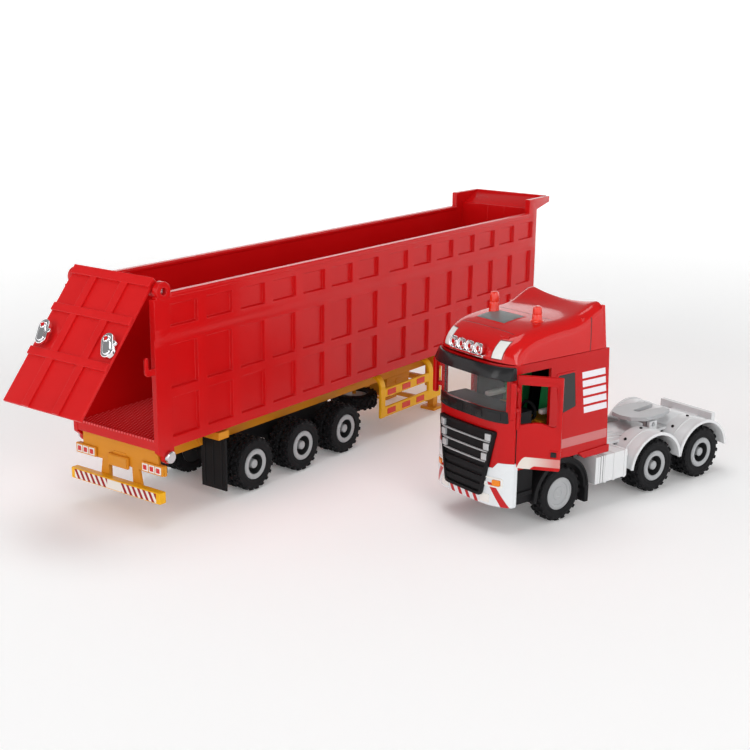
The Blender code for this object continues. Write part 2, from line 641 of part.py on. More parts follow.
gate = place("gate_axis", tub_frame, (GATE_AXIS[0], 0, GATE_AXIS[1]), (0, GATE_OPEN, 0))
part("tailgate", tailgate(), "red_paint", gate)
part("gate_rod", rod(SHAFT_R, (-38.6, 38.6), (0, 0)), "steel", gate)
for side, y, lean in (("left", LATCH_Y, LATCH_LEAN[0]), ("right", -LATCH_Y, LATCH_LEAN[1])):
    hook = place("latch_axis_" + side, gate, (-GATE_FACE - 2.3, y, -LATCH_DOWN), (lean, 0, 0))
    part("latch_" + side, latch(), "chrome", hook)

tractor = place("tractor", trailer, (*TRACTOR_AT, 0), (0, 0, TRACTOR_HEADING))
part("tractor_chassis", tractor_chassis(), "black_plastic", tractor)
part("rear_deck", rear_deck(), "silver_plastic", tractor)
coupling = place("fifth_axis", tractor, (FIFTH_AXIS[0], 0, FIFTH_AXIS[1]))
plate = fifth_wheel()
plate.data.transform(Matrix.Translation((-FIFTH_AXIS[0], 0, -FIFTH_AXIS[1])))
part("fifth_wheel", plate, "silver_plastic", coupling)
part("cab_shell", cab_shell(), "red_paint", tractor)
part("windscreen", bowed_strip(30.5, -1.0, 1.4, (82.3, 102.7)), "clear_plastic", tractor)
part("sun_visor", bowed_strip(35.2, 5.6, 5.2, (103.2, 111.2)), "black_plastic", tractor)
part("grille", grille(), "black_plastic", tractor)
part("front_bumper", front_bumper(), "white_plastic", tractor)
part("dashboard", dashboard(), "black_plastic", tractor)
part("seat_left", seat(), "green_plastic", tractor)
part("seat_right", mirrored(seat()), "green_plastic", tractor)
part("lamp_bar", lamp_bar(), "chrome", tractor)
part("beacon_left", beacon(12.6, 19.0, 11.5, 1.0), "lamp_red", tractor)
part("beacon_right", beacon(14.4, -19.0, 16.5, 0.3), "lamp_red", tractor)

for side, sign, swing in (("left", 1, -DOOR_OPEN), ("right", -1, 0.0)):
    hinge = place("door_axis_" + side, tractor, (DOOR_HINGE[0], sign * DOOR_HINGE[1], 0),
                  (0, 0, swing))
    leaf = door() if sign > 0 else mirrored(door())
    leaf.data.transform(Matrix.Translation((-DOOR_HINGE[0], -sign * DOOR_HINGE[1], 0)))
    part("door_" + side, leaf, "red_paint", hinge)

axle("tractor_axle_1", tractor, TRACTOR_AXLES[0], FRONT_TYRE_Y, False, 2.0)
for number, x in enumerate(REAR_AXLES, 2):
    axle("tractor_axle_%d" % number, tractor, x, REAR_TYRE_Y, True, 6.0)
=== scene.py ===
import json
import math
import bmesh
import bpy
from mathutils import Matrix, Vector


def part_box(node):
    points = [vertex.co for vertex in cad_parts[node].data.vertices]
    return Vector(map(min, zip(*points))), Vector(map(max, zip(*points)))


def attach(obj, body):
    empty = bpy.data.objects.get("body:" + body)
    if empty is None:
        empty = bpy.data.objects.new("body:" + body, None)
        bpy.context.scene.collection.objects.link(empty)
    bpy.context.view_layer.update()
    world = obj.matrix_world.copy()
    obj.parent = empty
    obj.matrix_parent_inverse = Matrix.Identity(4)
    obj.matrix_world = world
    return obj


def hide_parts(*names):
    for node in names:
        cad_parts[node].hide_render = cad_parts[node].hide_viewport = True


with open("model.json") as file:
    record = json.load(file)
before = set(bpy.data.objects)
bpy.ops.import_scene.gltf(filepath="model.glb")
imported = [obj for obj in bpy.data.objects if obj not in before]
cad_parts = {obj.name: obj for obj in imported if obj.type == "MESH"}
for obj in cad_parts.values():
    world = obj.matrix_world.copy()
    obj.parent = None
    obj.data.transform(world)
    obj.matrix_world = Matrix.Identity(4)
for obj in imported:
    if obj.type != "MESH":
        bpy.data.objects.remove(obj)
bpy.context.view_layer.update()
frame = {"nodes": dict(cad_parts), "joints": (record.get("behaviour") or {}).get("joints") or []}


# ---- studio --------------------------------------------------------------------------------------
# The toy stands on a pale table with a white screen all round, under wide, soft lights. The camera
# looks down on the rear right corner of the trailer from about twice the height of the tub.

def look_from(place, yaw, pitch, roll, lens):
    """Sets the camera at a place, turned by yaw from +X, tipped down by pitch and rolled, in degrees."""
    yaw, pitch, roll = (math.radians(angle) for angle in (yaw, pitch, roll))
    ahead = Vector((math.cos(yaw) * math.cos(pitch), math.sin(yaw) * math.cos(pitch), -math.sin(pitch)))
    right = ahead.cross(Vector((0, 0, 1))).normalized()
    up = right.cross(ahead)
    across = right * math.cos(roll) + up * math.sin(roll)
    above = up * math.cos(roll) - right * math.sin(roll)
    camera = bpy.data.objects.new("camera", bpy.data.cameras.new("camera"))
    camera.data.lens = lens
    camera.data.clip_start = 0.01
    camera.matrix_world = Matrix.Translation(place) @ Matrix((across, above, -ahead)).transposed().to_4x4()
    bpy.context.scene.collection.objects.link(camera)
    bpy.context.scene.camera = camera


def softbox(name, place, aim, size, power):
    """A square area light aimed at a point."""
    light = bpy.data.lights.new(name, "AREA")
    light.shape = "RECTANGLE"
    light.size, light.size_y = size
    light.energy = power
    lamp = bpy.data.objects.new(name, light)
    lamp.location = place
    lamp.rotation_euler = (Vector(aim) - Vector(place)).to_track_quat("-Z", "Y").to_euler()
    bpy.context.scene.collection.objects.link(lamp)


look_from((-0.74396, -0.47723, 0.3132), 36.382, 15.466, 0.599, 60.82)
softbox("overhead", (-0.1, 0.1, 1.5), (0, 0, 0), (1.1, 0.8), 7.6)
softbox("left_window", (-0.9, -1.5, 0.95), (0, 0, 0.08), (0.9, 0.7), 8.0)
softbox("rear_window", (-1.9, 0.5, 0.8), (-0.1, 0.1, 0.08), (0.6, 0.8), 4.0)

world = bpy.data.worlds.new("studio")
world.use_nodes = True
world.node_tree.nodes["Background"].inputs["Color"].default_value = (1.0, 1.0, 1.0, 1.0)
world.node_tree.nodes["Background"].inputs["Strength"].default_value = 0.26
bpy.context.scene.world = world
bpy.context.scene.view_settings.view_transform = "Standard"

class Signal:
    """One output of a shader node, on which sums are written as plain expressions."""

    def __init__(self, tree, output):
        self.tree, self.output = tree, output

    def make(self, kind, settings=None, inputs=None, output=0):
        """A new node of a kind, with its settings, then the values or links of its sockets."""
        node = self.tree.nodes.new("ShaderNode" + kind)
        for key, value in (settings or {}).items():
            setattr(node, key, value)
        for key, value in (inputs or {}).items():
            if isinstance(value, Signal):
                self.tree.links.new(value.output, node.inputs[key])
            else:
                node.inputs[key].default_value = value
        return Signal(self.tree, node.outputs[output])

    def sum(self, operation, *values):
        return self.make("Math", {"operation": operation}, dict(enumerate(values)))

    def __add__(self, other):
        return self.sum("ADD", self, other)

    def __sub__(self, other):
        return self.sum("SUBTRACT", self, other)

    def __rsub__(self, other):
        return self.sum("SUBTRACT", other, self)

    def __mul__(self, other):
        return self.sum("MULTIPLY", self, other)

    def __truediv__(self, other):
        return self.sum("DIVIDE", self, other)

    def __mod__(self, other):
        return self.sum("FLOORED_MODULO", self, other)

    def __abs__(self):
        return self.sum("ABSOLUTE", self)

    __radd__, __rmul__ = __add__, __mul__

    def above(self, edge, blur=0.08):
        """0 below an edge and 1 above it, with a narrow ramp between."""
        return self.make("MapRange", None, {0: self, 1: edge - blur, 2: edge + blur})

    def within(self, low, high, blur=0.08):
        return self.above(low, blur) * (1.0 - self.above(high, blur))


class Finish:
    """A material in the making: its colour, gloss and height in millimetres, each a value or a Signal."""

    def __init__(self, name, colour, roughness, place=None, **constants):
        self.material = bpy.data.materials.new(name)
        self.material.use_nodes = True
        self.tree = self.material.node_tree
        self.shader = self.tree.nodes["Principled BSDF"]
        for socket, value in constants.items():
            self.shader.inputs[socket.replace("_", " ").title().replace("Ior", "IOR")].default_value = value
        start = Signal(self.tree, self.tree.nodes.new("ShaderNodeTexCoord").outputs["Object"])
        move, turn, _ = (place or Matrix()).decompose()
        self.where = start.make("Mapping", {"vector_type": "TEXTURE"},
                                {0: start, 1: move, 2: turn.to_euler(), 3: (0.001, 0.001, 0.001)})
        self.x, self.y, self.z = (self.where.make("SeparateXYZ", None, {0: self.where}, axis)
                                  for axis in range(3))
        self.colour = (*colour, 1.0)
        self.gloss = roughness
        self.height = None

    def noise(self, size, detail=2.0, output=0):
        """Noise from 0 to 1, whose cells are about a size across in millimetres."""
        return self.where.make("TexNoise", None, {0: self.where, 2: 1.0 / size, 3: detail}, output)

    def blend(self, one, other, share):
        return self.where.make("Mix", {"data_type": "RGBA"}, {0: share, 6: one, 7: other}, 2)

    def paint(self, mask, colour, roughness=None):
        """Lays a colour over the finish where the mask is 1."""
        self.colour = self.blend(self.colour, (*colour, 1.0), mask)
        if roughness is not None:
            self.gloss = self.gloss + mask * (roughness - self.gloss)

    def raise_by(self, height):
        self.height = height if self.height is None else self.height + height

    def close(self):
        """Joins colour, gloss and height to the shader, and gives the material."""
        for socket, value in (("Base Color", self.colour), ("Roughness", self.gloss)):
            if isinstance(value, Signal):
                self.tree.links.new(value.output, self.shader.inputs[socket])
            else:
                self.shader.inputs[socket].default_value = value
        if self.height is not None:
            bump = self.where.make("Bump", None, {"Height": self.height, "Distance": 0.001})
            self.tree.links.new(bump.output, self.shader.inputs["Normal"])
        return self.material


card = Finish("white_card", (0.985, 0.985, 0.985), 0.9, specular_ior_level=0.1, emission_strength=1.0)
away = card.where.make("VectorMath", {"operation": "LENGTH"}, {0: card.where}, 1)
shine = away.make("MapRange", None, {0: away, 1: 450.0, 2: 2000.0, 3: 0.09, 4: 0.84})
card.tree.links.new(shine.output, card.shader.inputs["Emission Color"])
screen = Finish("white_screen", (0.5, 0.5, 0.5), 0.9, specular_ior_level=0.1, emission_strength=0.85,
                emission_color=(1.0, 1.0, 1.0, 1.0))
table_mesh, ring_mesh = bmesh.new(), bmesh.new()
bmesh.ops.create_grid(table_mesh, x_segments=1, y_segments=1, size=6.0)
bmesh.ops.create_cone(ring_mesh, cap_ends=False, segments=96, radius1=5.0, radius2=5.0, depth=4.6)
bmesh.ops.reverse_faces(ring_mesh, faces=ring_mesh.faces)
for name, mesh, finish in (("table", table_mesh, card), ("screen", ring_mesh, screen)):
    data = bpy.data.meshes.new(name)
    mesh.to_mesh(data)
    mesh.free()
    data.materials.append(finish.close())
    stood = bpy.data.objects.new(name, data)
    bpy.context.scene.collection.objects.link(stood)


# ---- tub -----------------------------------------------------------------------------------------
# The tub is one glossy red moulding: two side walls with three rows of sunk panels, a floor with
# tread bumps, a front wall, and a headboard visor. It tips on the rod at its rear lower corner.

def moulded(name, colour, roughness, peel=0.006, place=None, **constants):
    """Painted or plain moulded plastic: faint clouds in the colour, uneven gloss and orange peel."""
    finish = Finish(name, colour, roughness, place, **{"specular_ior_level": 0.2, **constants})
    dark = tuple(share * 0.9 for share in colour)
    light = tuple(min(1.0, share * 1.06 + 0.002) for share in colour)
    finish.colour = finish.blend((*dark, 1.0), (*light, 1.0), finish.noise(38.0, 3.0))
    finish.gloss = finish.noise(9.0, 3.0) * 0.1 + (roughness - 0.05)
    finish.raise_by(finish.noise(1.5, 1.0) * peel)
    return finish


def cube(bm, x, y, z):
    """A box between pairs of limits."""
    made = bmesh.ops.create_cube(bm, size=1.0)["verts"]
    bmesh.ops.scale(bm, vec=[high - low for low, high in (x, y, z)], verts=made)
    bmesh.ops.translate(bm, vec=[(low + high) / 2 for low, high in (x, y, z)], verts=made)
    return made


def outline(bm, corners, travel):
    """A flat face through the corners, drawn out along a travel into a solid. Gives its vertices."""
    face = bm.faces.new([bm.verts.new(corner) for corner in corners])
    drawn = bmesh.ops.extrude_face_region(bm, geom=[face], use_keep_orig=True)["geom"]
    far = [item for item in drawn if isinstance(item, bmesh.types.BMVert)]
    bmesh.ops.translate(bm, vec=travel, verts=far)
    return list(face.verts) + far


def side_plate(bm, corners, low, high):
    """A plate with an (x, z) outline between two distances y."""
    return outline(bm, [(x, low, z) for x, z in corners], (0, high - low, 0))


def arc(centre, radius, start, stop, steps):
    """Points on a circle from one angle to another, in degrees."""
    angles = [math.radians(start + (stop - start) * step / steps) for step in range(steps + 1)]
    return [(centre[0] + radius * math.cos(a), centre[1] + radius * math.sin(a)) for a in angles]


def turned(bm, profile, centre, axis=(0, 1, 0), steps=48):
    """A profile of (along, radius) points spun about an axis through a centre."""
    axis, centre = Vector(axis).normalized(), Vector(centre)
    out = axis.orthogonal().normalized()
    points = [bm.verts.new(centre + axis * along + out * radius) for along, radius in profile]
    edges = [bm.edges.new(pair) for pair in zip(points, points[1:])]
    spun = bmesh.ops.spin(bm, geom=points + edges, cent=centre, axis=axis, angle=math.tau,
                          steps=steps, use_merge=True)
    return spun


def soften(bm, width, segments=2, above=35.0):
    """Shades curved faces smooth and flat ones flat, then rounds the edges between them."""
    bmesh.ops.remove_doubles(bm, verts=bm.verts, dist=0.002)
    bmesh.ops.recalc_face_normals(bm, faces=bm.faces)
    bm.normal_update()
    corner = math.radians(above)
    for face in bm.faces:
        face.smooth = any(0.02 < edge.calc_face_angle(0.0) < corner for edge in face.edges)
    sharp = [edge for edge in bm.edges if edge.calc_face_angle(0.0) >= corner]
    if width:
        rounded = bmesh.ops.bevel(bm, geom=sharp, offset=width, offset_type="OFFSET", affect="EDGES",
                                  segments=segments, profile=0.5, clamp_overlap=True, material=-1)
        for face in rounded["faces"]:
            face.smooth = True
    else:
        for edge in sharp:
            edge.smooth = False


def piece(name, bm, place, body, finishes, nodes=()):
    """Turns a bmesh in millimetres into a piece that rides on a body and stands for its CAD nodes."""
    bm.transform(place)
    mesh = bpy.data.meshes.new(name)
    bm.to_mesh(mesh)
    bm.free()
    for finish in finishes:
        mesh.materials.append(finish)
    made = bpy.data.objects.new(name, mesh)
    bpy.context.scene.collection.objects.link(made)
    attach(made, body)
    if nodes:
        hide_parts(*nodes)
    return made


def add(bm, part):
    """Moves a finished part into a larger mesh."""
    mesh = bpy.data.meshes.new("part")
    part.to_mesh(mesh)
    part.free()
    bm.from_mesh(mesh)
    bpy.data.meshes.remove(mesh)


tub_low, tub_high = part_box("dump_body")
trailer = (Matrix.Translation((tub_high.x - 0.488, (tub_low.y + tub_high.y) / 2, 0))
           @ Matrix.Scale(0.001, 4))
RED = (0.57, 0.003, 0.004)
tub_red = moulded("tub_red", RED, 0.22, place=trailer, coat_weight=0.08, coat_roughness=0.06)
bump_row = abs(tub_red.x % 2.6 - 1.3) + abs((tub_red.y + (tub_red.x % 5.2).above(2.6) * 1.3) % 2.6 - 1.3)
on_floor = tub_red.z.within(58.0, 59.5, 0.2) * (1.0 - abs(tub_red.y).above(35.8, 0.1))
# The tops of the tread bumps are painted a lighter, glossier red as a painted highlight; the bumps themselves
# come from the bump map.
dots = (1.0 - bump_row.above(0.85, 0.45)) * on_floor
tub_red.paint(dots, (0.85, 0.10, 0.11), 0.2)
tub_red.raise_by(dots * 0.45)
tub_red_material = tub_red.close()

PANEL_ROWS = ((59.0, 85.0), (91.0, 119.5), (131.0, 145.5))


def tub_wall(bm, side):
    """A side wall: its outline is cut at every rib, and the panels between the ribs are sunk."""
    corners = [(-4.5, 51), *arc((4.6, 46.9), 4.6, 180, 360, 14), (9.4, 52.3), (466, 52.3), (466, 155),
               (488, 159.8), (488, 164.9), (451, 164.9), (451, 152.2), (10.5, 152.2), (10.5, 150),
               (-4.5, 150)]
    wall = bmesh.new()
    side_plate(wall, corners, 36.2 * side, 40.0 * side)
    columns = [(33.0 + 32.2 * index + (6.0 if index > 6 else 0.0)) for index in range(14)]
    cuts = [((x, 0, 0), (1, 0, 0)) for right in columns for x in (right - 24.2, right)]
    cuts += [((0, 0, z), (0, 0, 1)) for row in PANEL_ROWS for z in row]
    cuts += [((0, 0, z), (0, 0, 1)) for z in (123.6, 125.4)]
    for point, normal in cuts:
        bmesh.ops.bisect_plane(wall, geom=wall.verts[:] + wall.edges[:] + wall.faces[:], dist=0.001,
                               plane_co=point, plane_no=normal)
    wall.normal_update()
    panels = []
    for face in wall.faces:
        middle = face.calc_center_median()
        if abs(middle.y - 40.0 * side) > 0.01:
            continue
        in_row = any(low < middle.z < high for low, high in PANEL_ROWS)
        if in_row and any(right - 24.2 < middle.x < right for right in columns):
            panels.append(face)
    for face in panels:
        if face.normal.y * side < 0:
            face.normal_flip()
    bmesh.ops.inset_individual(wall, faces=panels, thickness=0.7, depth=-2.3, use_even_offset=True)
    for vertex in wall.verts:
        if vertex.co.y * side > 36.5 and vertex.co.z > 125.0 and vertex.co.x < 462:
            vertex.co.y += 0.9 * side
    soften(wall, 0.55, 3)
    lug = bmesh.new()
    turned(lug, [(36.2 * side, 2.3), (36.2 * side, 6.0), (41.0 * side, 6.0), (41.0 * side, 2.3),
                 (36.2 * side, 2.3)], (3.9, 0, 154.3))
    soften(lug, 0.6, 3)
    neck = bmesh.new()
    side_plate(neck, [(-4.4, 140), (10.4, 140), (9.8, 151.6), (-2.0, 151.6)], 36.4 * side, 40.6 * side)
    soften(neck, 0.5, 3)
    rim = bmesh.new()
    cube(rim, (9.0, 452.0), sorted((35.4 * side, 41.4 * side)), (149.4, 152.9))
    soften(rim, 1.2, 4)
    hook = bmesh.new()
    side_plate(hook, [(-3.0, 107.2), *arc((-8.2, 108.4), 1.6, 270, 180, 4), (-9.8, 113.4),
                      *arc((-11.2, 113.6), 1.4, 0, 180, 6), (-12.7, 106.5),
                      *arc((-9.7, 105.6), 3.0, 180, 270, 6),
                      (-3.0, 102.6)], 38.1 * side, 39.8 * side)
    soften(hook, 0.5, 3)
    for part in (wall, lug, neck, rim, hook):
        add(bm, part)


tub = bmesh.new()
for side in (1, -1):
    tub_wall(tub, side)
rest = bmesh.new()
cube(rest, (-3.2, 448.5), (-36.6, 36.6), (54.7, 59.0))
cube(rest, (464.9, 465.7), (-8.6, 8.6), (139.0, 155.6))
cube(rest, (-4.2, -1.8), (-36.6, 36.6), (52.0, 59.3))
for low, high in ((-36.6, -8.5), (8.5, 36.6)):
    cube(rest, (448.4, 464.0), (low, high), (54.7, 59.0))
    cube(rest, (461.5, 465.7), (low, high), (52.6, 155.6))
cube(rest, (461.5, 465.0), (-8.6, 8.6), (138.0, 155.6))
side_plate(rest, [(462.5, 150), (487.6, 160.4), (487.6, 164.5), (485.5, 164.5), (462.5, 154.5)], -36.6, 36.6)
side_plate(rest, [(484.5, 160.0), (487.9, 160.0), (487.9, 165.3), (484.5, 165.3)], -36.8, 36.8)
side_plate(rest, [(463, 142), (457, 128), (445, 55), (448.5, 55), (460.5, 126), (465.7, 138), (465.7, 142)],
           -11.5, 11.5)
for low, high in ((-11.5, -8.5), (8.5, 11.5)):
    side_plate(rest, [(463, 55), (446, 55), (458, 128), (463, 141)], low, high)
for side in (1, -1):
    side_plate(rest, [(464.5, 143), (478.5, 145.5), (478.5, 158), (464.5, 154)], 6.0 * side, 8.8 * side)
for y in (-24.0, 24.0):
    cube(rest, (466.0, 467.6), (y - 2.2, y + 2.2), (56.0, 150.0))
soften(rest, 0.45, 3)
add(tub, rest)
piece("tub", tub, trailer, "tub", [tub_red_material], ["dump_body"])


# ---- tailgate ------------------------------------------------------------------------------------
# A flat red plate with raised ribs, which hangs from a steel rod through the lugs of the tub. Its top
# edge is folded forward to a barrel that turns on the rod.

rod_low, rod_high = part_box("gate_rod")
gate = (Matrix.Translation((rod_low + rod_high) / 2) @ Matrix.Rotation(math.radians(40.0), 4, "Y")
        @ Matrix.Scale(0.001, 4))
gate_red = moulded("gate_red", (0.62, 0.006, 0.007), 0.34, 0.012, gate, coat_weight=0.06,
                   coat_roughness=0.15).close()


def join_softened(bm, parts, width, segments=3):
    """Rounds each part on its own and adds it to one mesh, so that overlaps stay crisp."""
    for part in parts:
        soften(part, width, segments)
        add(bm, part)


def solo(maker, *arguments):
    """One shape in a bmesh of its own."""
    bm = bmesh.new()
    maker(bm, *arguments)
    return bm


gate_mesh = bmesh.new()
gate_parts = [solo(cube, (-7.0, -5.0), (-35.7, 35.7), (-94.8, 4.0)),
              solo(cube, (-6.9, 0.2), (-35.4, 35.4), (1.7, 4.1)),
              solo(turned, [(-35.2, 0), (-35.2, 4.4), (35.2, 4.4), (35.2, 0)], (0, 0, 0))]
for low, high in ((-2.2, 4.3), (-29.6, -24.0), (-61.6, -56.0)):
    gate_parts.append(solo(cube, (-8.5, -6.0), (-35.7, 35.7), (low, high)))
for side in (1, -1):
    gate_parts.append(solo(cube, (-8.35, -6.0), sorted((10.9 * side, 17.1 * side)), (-94.7, 3.0)))
    gate_parts.append(solo(turned, [(-13.0, 0), (-13.0, 1.0), (-6.0, 1.0), (-6.0, 0)],
                           (0, 29.0 * side, -42.5), (1, 0, 0), 24))
join_softened(gate_mesh, gate_parts, 0.4)
piece("tailgate_panel", gate_mesh, gate, "gate", [gate_red], ["tailgate"])


# ---- rods and pins -------------------------------------------------------------------------------
# The gate's rod and the tub's tipping rod are bright drawn steel. The tipping rod ends in two flat
# nickelled heads outside the tub.

steel = Finish("drawn_steel", (0.62, 0.62, 0.64), 0.25, metallic=1.0)
steel.gloss = steel.noise(3.0, 3.0) * 0.18 + 0.14
steel.raise_by(steel.where.make("TexNoise", None, {0: steel.where, 2: 6.0, 3: 2.0}) * 0.004)
steel_material = steel.close()
pivot_low, pivot_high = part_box("body_pivot_rod")
pivot = Matrix.Translation((pivot_low + pivot_high) / 2) @ Matrix.Scale(0.001, 4)
rods = bmesh.new()
turned(rods, [(-38.6, 0), (-38.6, 1.6), (-38.2, 2.0), (38.2, 2.0), (38.6, 1.6), (38.6, 0)], (0, 0, 0),
       steps=32)
soften(rods, 0)
piece("gate_hinge_rod", rods, gate, "gate", [steel_material], ["gate_rod"])
rods = bmesh.new()
turned(rods, [(-42.6, 0), (-42.6, 3.2), (-42.1, 3.9), (-41.0, 4.1), (-40.4, 4.1), (-40.4, 2), (40.4, 2),
              (40.4, 4.1), (41.0, 4.1), (42.1, 3.9), (42.6, 3.2), (42.6, 0)], (0, 0, 0), steps=40)
soften(rods, 0)
piece("tipping_rod", rods, pivot, "trailer", [steel_material], ["body_pivot_rod"])


# ---- latches -------------------------------------------------------------------------------------
# Two chromed links swing on pins of the tailgate. Turned outwards they drop into the hooks on the
# tub's rear posts and hold the gate shut.

chrome = Finish("bright_chrome", (0.86, 0.86, 0.88), 0.08, metallic=1.0)
chrome.gloss = chrome.noise(2.5, 3.0) * 0.12 + 0.03
chrome.raise_by(chrome.noise(2.2, 2.0) * 0.02)
chrome_material = chrome.close()
for name, side, lean in (("left", 1, -18.0), ("right", -1, -31.0)):
    hung = (gate @ Matrix.Translation((-10.7, 29.0 * side, -42.5))
            @ Matrix.Rotation(math.radians(lean), 4, "X"))
    ends = arc((0, 0), 4.4, 0, 180, 12) + arc((0, -8.5), 4.4, 180, 360, 12)
    link = bmesh.new()
    body = solo(outline, [(-1.6, y, z) for y, z in ends], (3.2, 0, 0))
    raised = solo(outline, [(-2.3, y * 0.72, z * 0.8 - 1.2) for y, z in arc((0, -3.6), 3.9, 0, 180, 10)
                            + arc((0, -8.8), 3.9, 180, 360, 10)], (1.2, 0, 0))
    collar = solo(turned, [(-2.9, 1.3), (-2.9, 2.2), (-1.4, 2.6), (-1.4, 1.3), (-2.9, 1.3)], (0, 0, 0),
                  (1, 0, 0), 28)
    ear = solo(turned, [(-1.2, 0), (-1.2, 1.5), (1.2, 1.5), (1.2, 0)], (0, -4.6, -4.0), (1, 0, 0), 20)
    join_softened(link, [body, raised, collar, ear], 0.45)
    piece("latch_link_" + name, link, hung, "hook_" + name, [chrome_material], ["latch_" + name])
    pin = bmesh.new()
    turned(pin, [(-3.3, 0), (-3.3, 0.9), (-3.0, 1.25), (-1.0, 1.25), (-1.0, 0)], (0, 0, 0), (1, 0, 0), 20)
    soften(pin, 0)
    piece("latch_pin_" + name, pin, hung, "gate", [gate_red])


# ---- trailer frame -------------------------------------------------------------------------------
# Two long rails under a gooseneck plate, with the rear board, the outriggers and the landing legs,
# all moulded in one orange-yellow plastic with a satin skin.

def from_cad(node, place):
    """The shape of a CAD node in a piece's own millimetres, merged and with its flat faces joined."""
    bm = bmesh.new()
    bm.from_mesh(frame["nodes"][node].data)
    bm.transform(place.inverted())
    bmesh.ops.remove_doubles(bm, verts=bm.verts, dist=0.002)
    bmesh.ops.dissolve_limit(bm, angle_limit=math.radians(0.6), verts=bm.verts, edges=bm.edges)
    return bm


ORANGE = (0.66, 0.255, 0.012)
orange = moulded("orange_plastic", ORANGE, 0.42, 0.012, trailer, coat_weight=0.04).close()
for node, width in (("chassis_frame", 0.35), ("landing_gear_frame", 0.35), ("rear_board", 0.3)):
    shape = from_cad(node, trailer)
    soften(shape, width)
    piece(node + "_moulding", shape, trailer, "trailer", [orange], [node])
feet = from_cad("landing_feet", trailer)
soften(feet, 0.3)
piece("landing_feet_moulding", feet, trailer, "feet", [orange], ["landing_feet"])

tie_plates = bmesh.new()
join_softened(tie_plates, [solo(cube, (-1.4, 3.6), (-34.8, 34.8), (49.6, 51.5)),
                           *[solo(side_plate, [(50.0, 45.4), (62.0, 45.4), (57.0, 37.0), (55.0, 37.0)],
                                  *sorted((y * 17.0, y * 19.0))) for y in (1, -1)],
                           *[solo(cube, (1.2, 3.0), sorted((y * 12.0, y * 13.2)), (20, 46))
                             for y in (1, -1)]], 0.3)
piece("frame_gussets", tie_plates, trailer, "trailer", [orange])


# ---- toolbox -------------------------------------------------------------------------------------
# A flat orange box between the side guards, with a lid that laps over its sides and a moulded clasp.

box = bmesh.new()
join_softened(box, [solo(cube, (273.4, 304.6), (-15.6, 11.6), (20, 33.0)),
                    solo(cube, (272.9, 305.1), (-16.1, 12.1), (31.6, 35.4)),
                    solo(cube, (285.0, 293.0), (11.4, 12.6), (29.0, 33.4)),
                    solo(cube, (285.0, 293.0), (-16.6, -15.4), (29.0, 33.4))], 0.5)
piece("toolbox_shell", box, trailer, "trailer", [orange], ["toolbox"])


# ---- rear lamps and number plate -----------------------------------------------------------------
# Each end of the rear board carries a shallow orange housing with three red lenses in white frames.
# The number plate stands on a bracket in the middle and is left blank.

lens_red = moulded("lens_red", (0.60, 0.012, 0.010), 0.12, 0.003, coat_weight=0.6).close()
white_frame = moulded("lamp_frame_white", (0.82, 0.80, 0.76), 0.35).close()
for name, side in (("left", 1), ("right", -1)):
    lamps = bmesh.new()
    join_softened(lamps, [solo(cube, (-2.6, -1.1), sorted((21.6 * side, 40.8 * side)), (35.4, 42.2))], 0.35)
    piece("lamp_housing_" + name, lamps, trailer, "trailer", [orange], ["tail_lamps_" + name])
    frames, lenses = bmesh.new(), bmesh.new()
    for y in (25.2, 31.2, 37.0):
        low, high = sorted(((y - 2.5) * side, (y + 2.5) * side))
        join_softened(frames, [solo(cube, (-2.95, -2.3), (low, high), (36.3, 41.3))], 0.15, 2)
        join_softened(lenses, [solo(cube, (-3.35, -2.5), (low + 1.0, high - 1.0), (37.2, 40.4))], 0.25, 2)
    piece("lamp_frames_" + name, frames, trailer, "trailer", [white_frame])
    piece("lamp_lenses_" + name, lenses, trailer, "trailer", [lens_red])

plate = bmesh.new()
join_softened(plate, [solo(cube, (-3.2, -1.2), (-9.2, 9.2), (33.4, 41.4)),
                      solo(cube, (-1.4, 2.0), (-6.0, 6.0), (36.0, 43.4))], 0.4)
rim_cuts = solo(cube, (-3.7, -3.0), (-8.6, 8.6), (34.0, 40.8))
front = [face for face in rim_cuts.faces if face.calc_center_median().x < -3.6]
bmesh.ops.inset_region(rim_cuts, faces=front, thickness=0.8, depth=-0.35)
join_softened(plate, [rim_cuts], 0.12, 2)
piece("plate_holder", plate, trailer, "trailer", [orange], ["number_plate"])


# ---- rear bumper ---------------------------------------------------------------------------------
# A yellow bar on two struts. Its rear face wears a white strip with two groups of slanted red bars.

YELLOW = (0.84, 0.42, 0.006)
yellow = moulded("yellow_plastic", YELLOW, 0.36, 0.010, trailer, coat_weight=0.05).close()
bar = bmesh.new()
join_softened(bar, [solo(cube, (-6.8, -1.3), (-42, 42), (18, 25.6)),
                    *[solo(cube, (-2.0, 1.4), sorted((11.2 * y, 20.0 * y)), (18.4, 20.4))
                      for y in (1, -1)]], 0.5)
piece("bumper_bar", bar, trailer, "trailer", [yellow], ["rear_bumper"])
strip = moulded("warning_strip", (0.80, 0.76, 0.70), 0.4, 0.004, trailer)
lean = (strip.y - strip.z * 0.55) % 5.0
strip.paint(lean.above(2.5) * abs(strip.y).above(6.6), (0.33, 0.010, 0.014))
sticker = bmesh.new()
join_softened(sticker, [solo(cube, (-7.05, -6.6), (-38.4, 38.4), (18.7, 24.9))], 0.1, 2)
piece("bumper_strip", sticker, trailer, "trailer", [strip.close()])


# ---- side guards ---------------------------------------------------------------------------------
# Yellow ladder frames between the axles and the legs. The posts bend inwards to the rails at the top,
# and both bars carry moulded red reflectors.

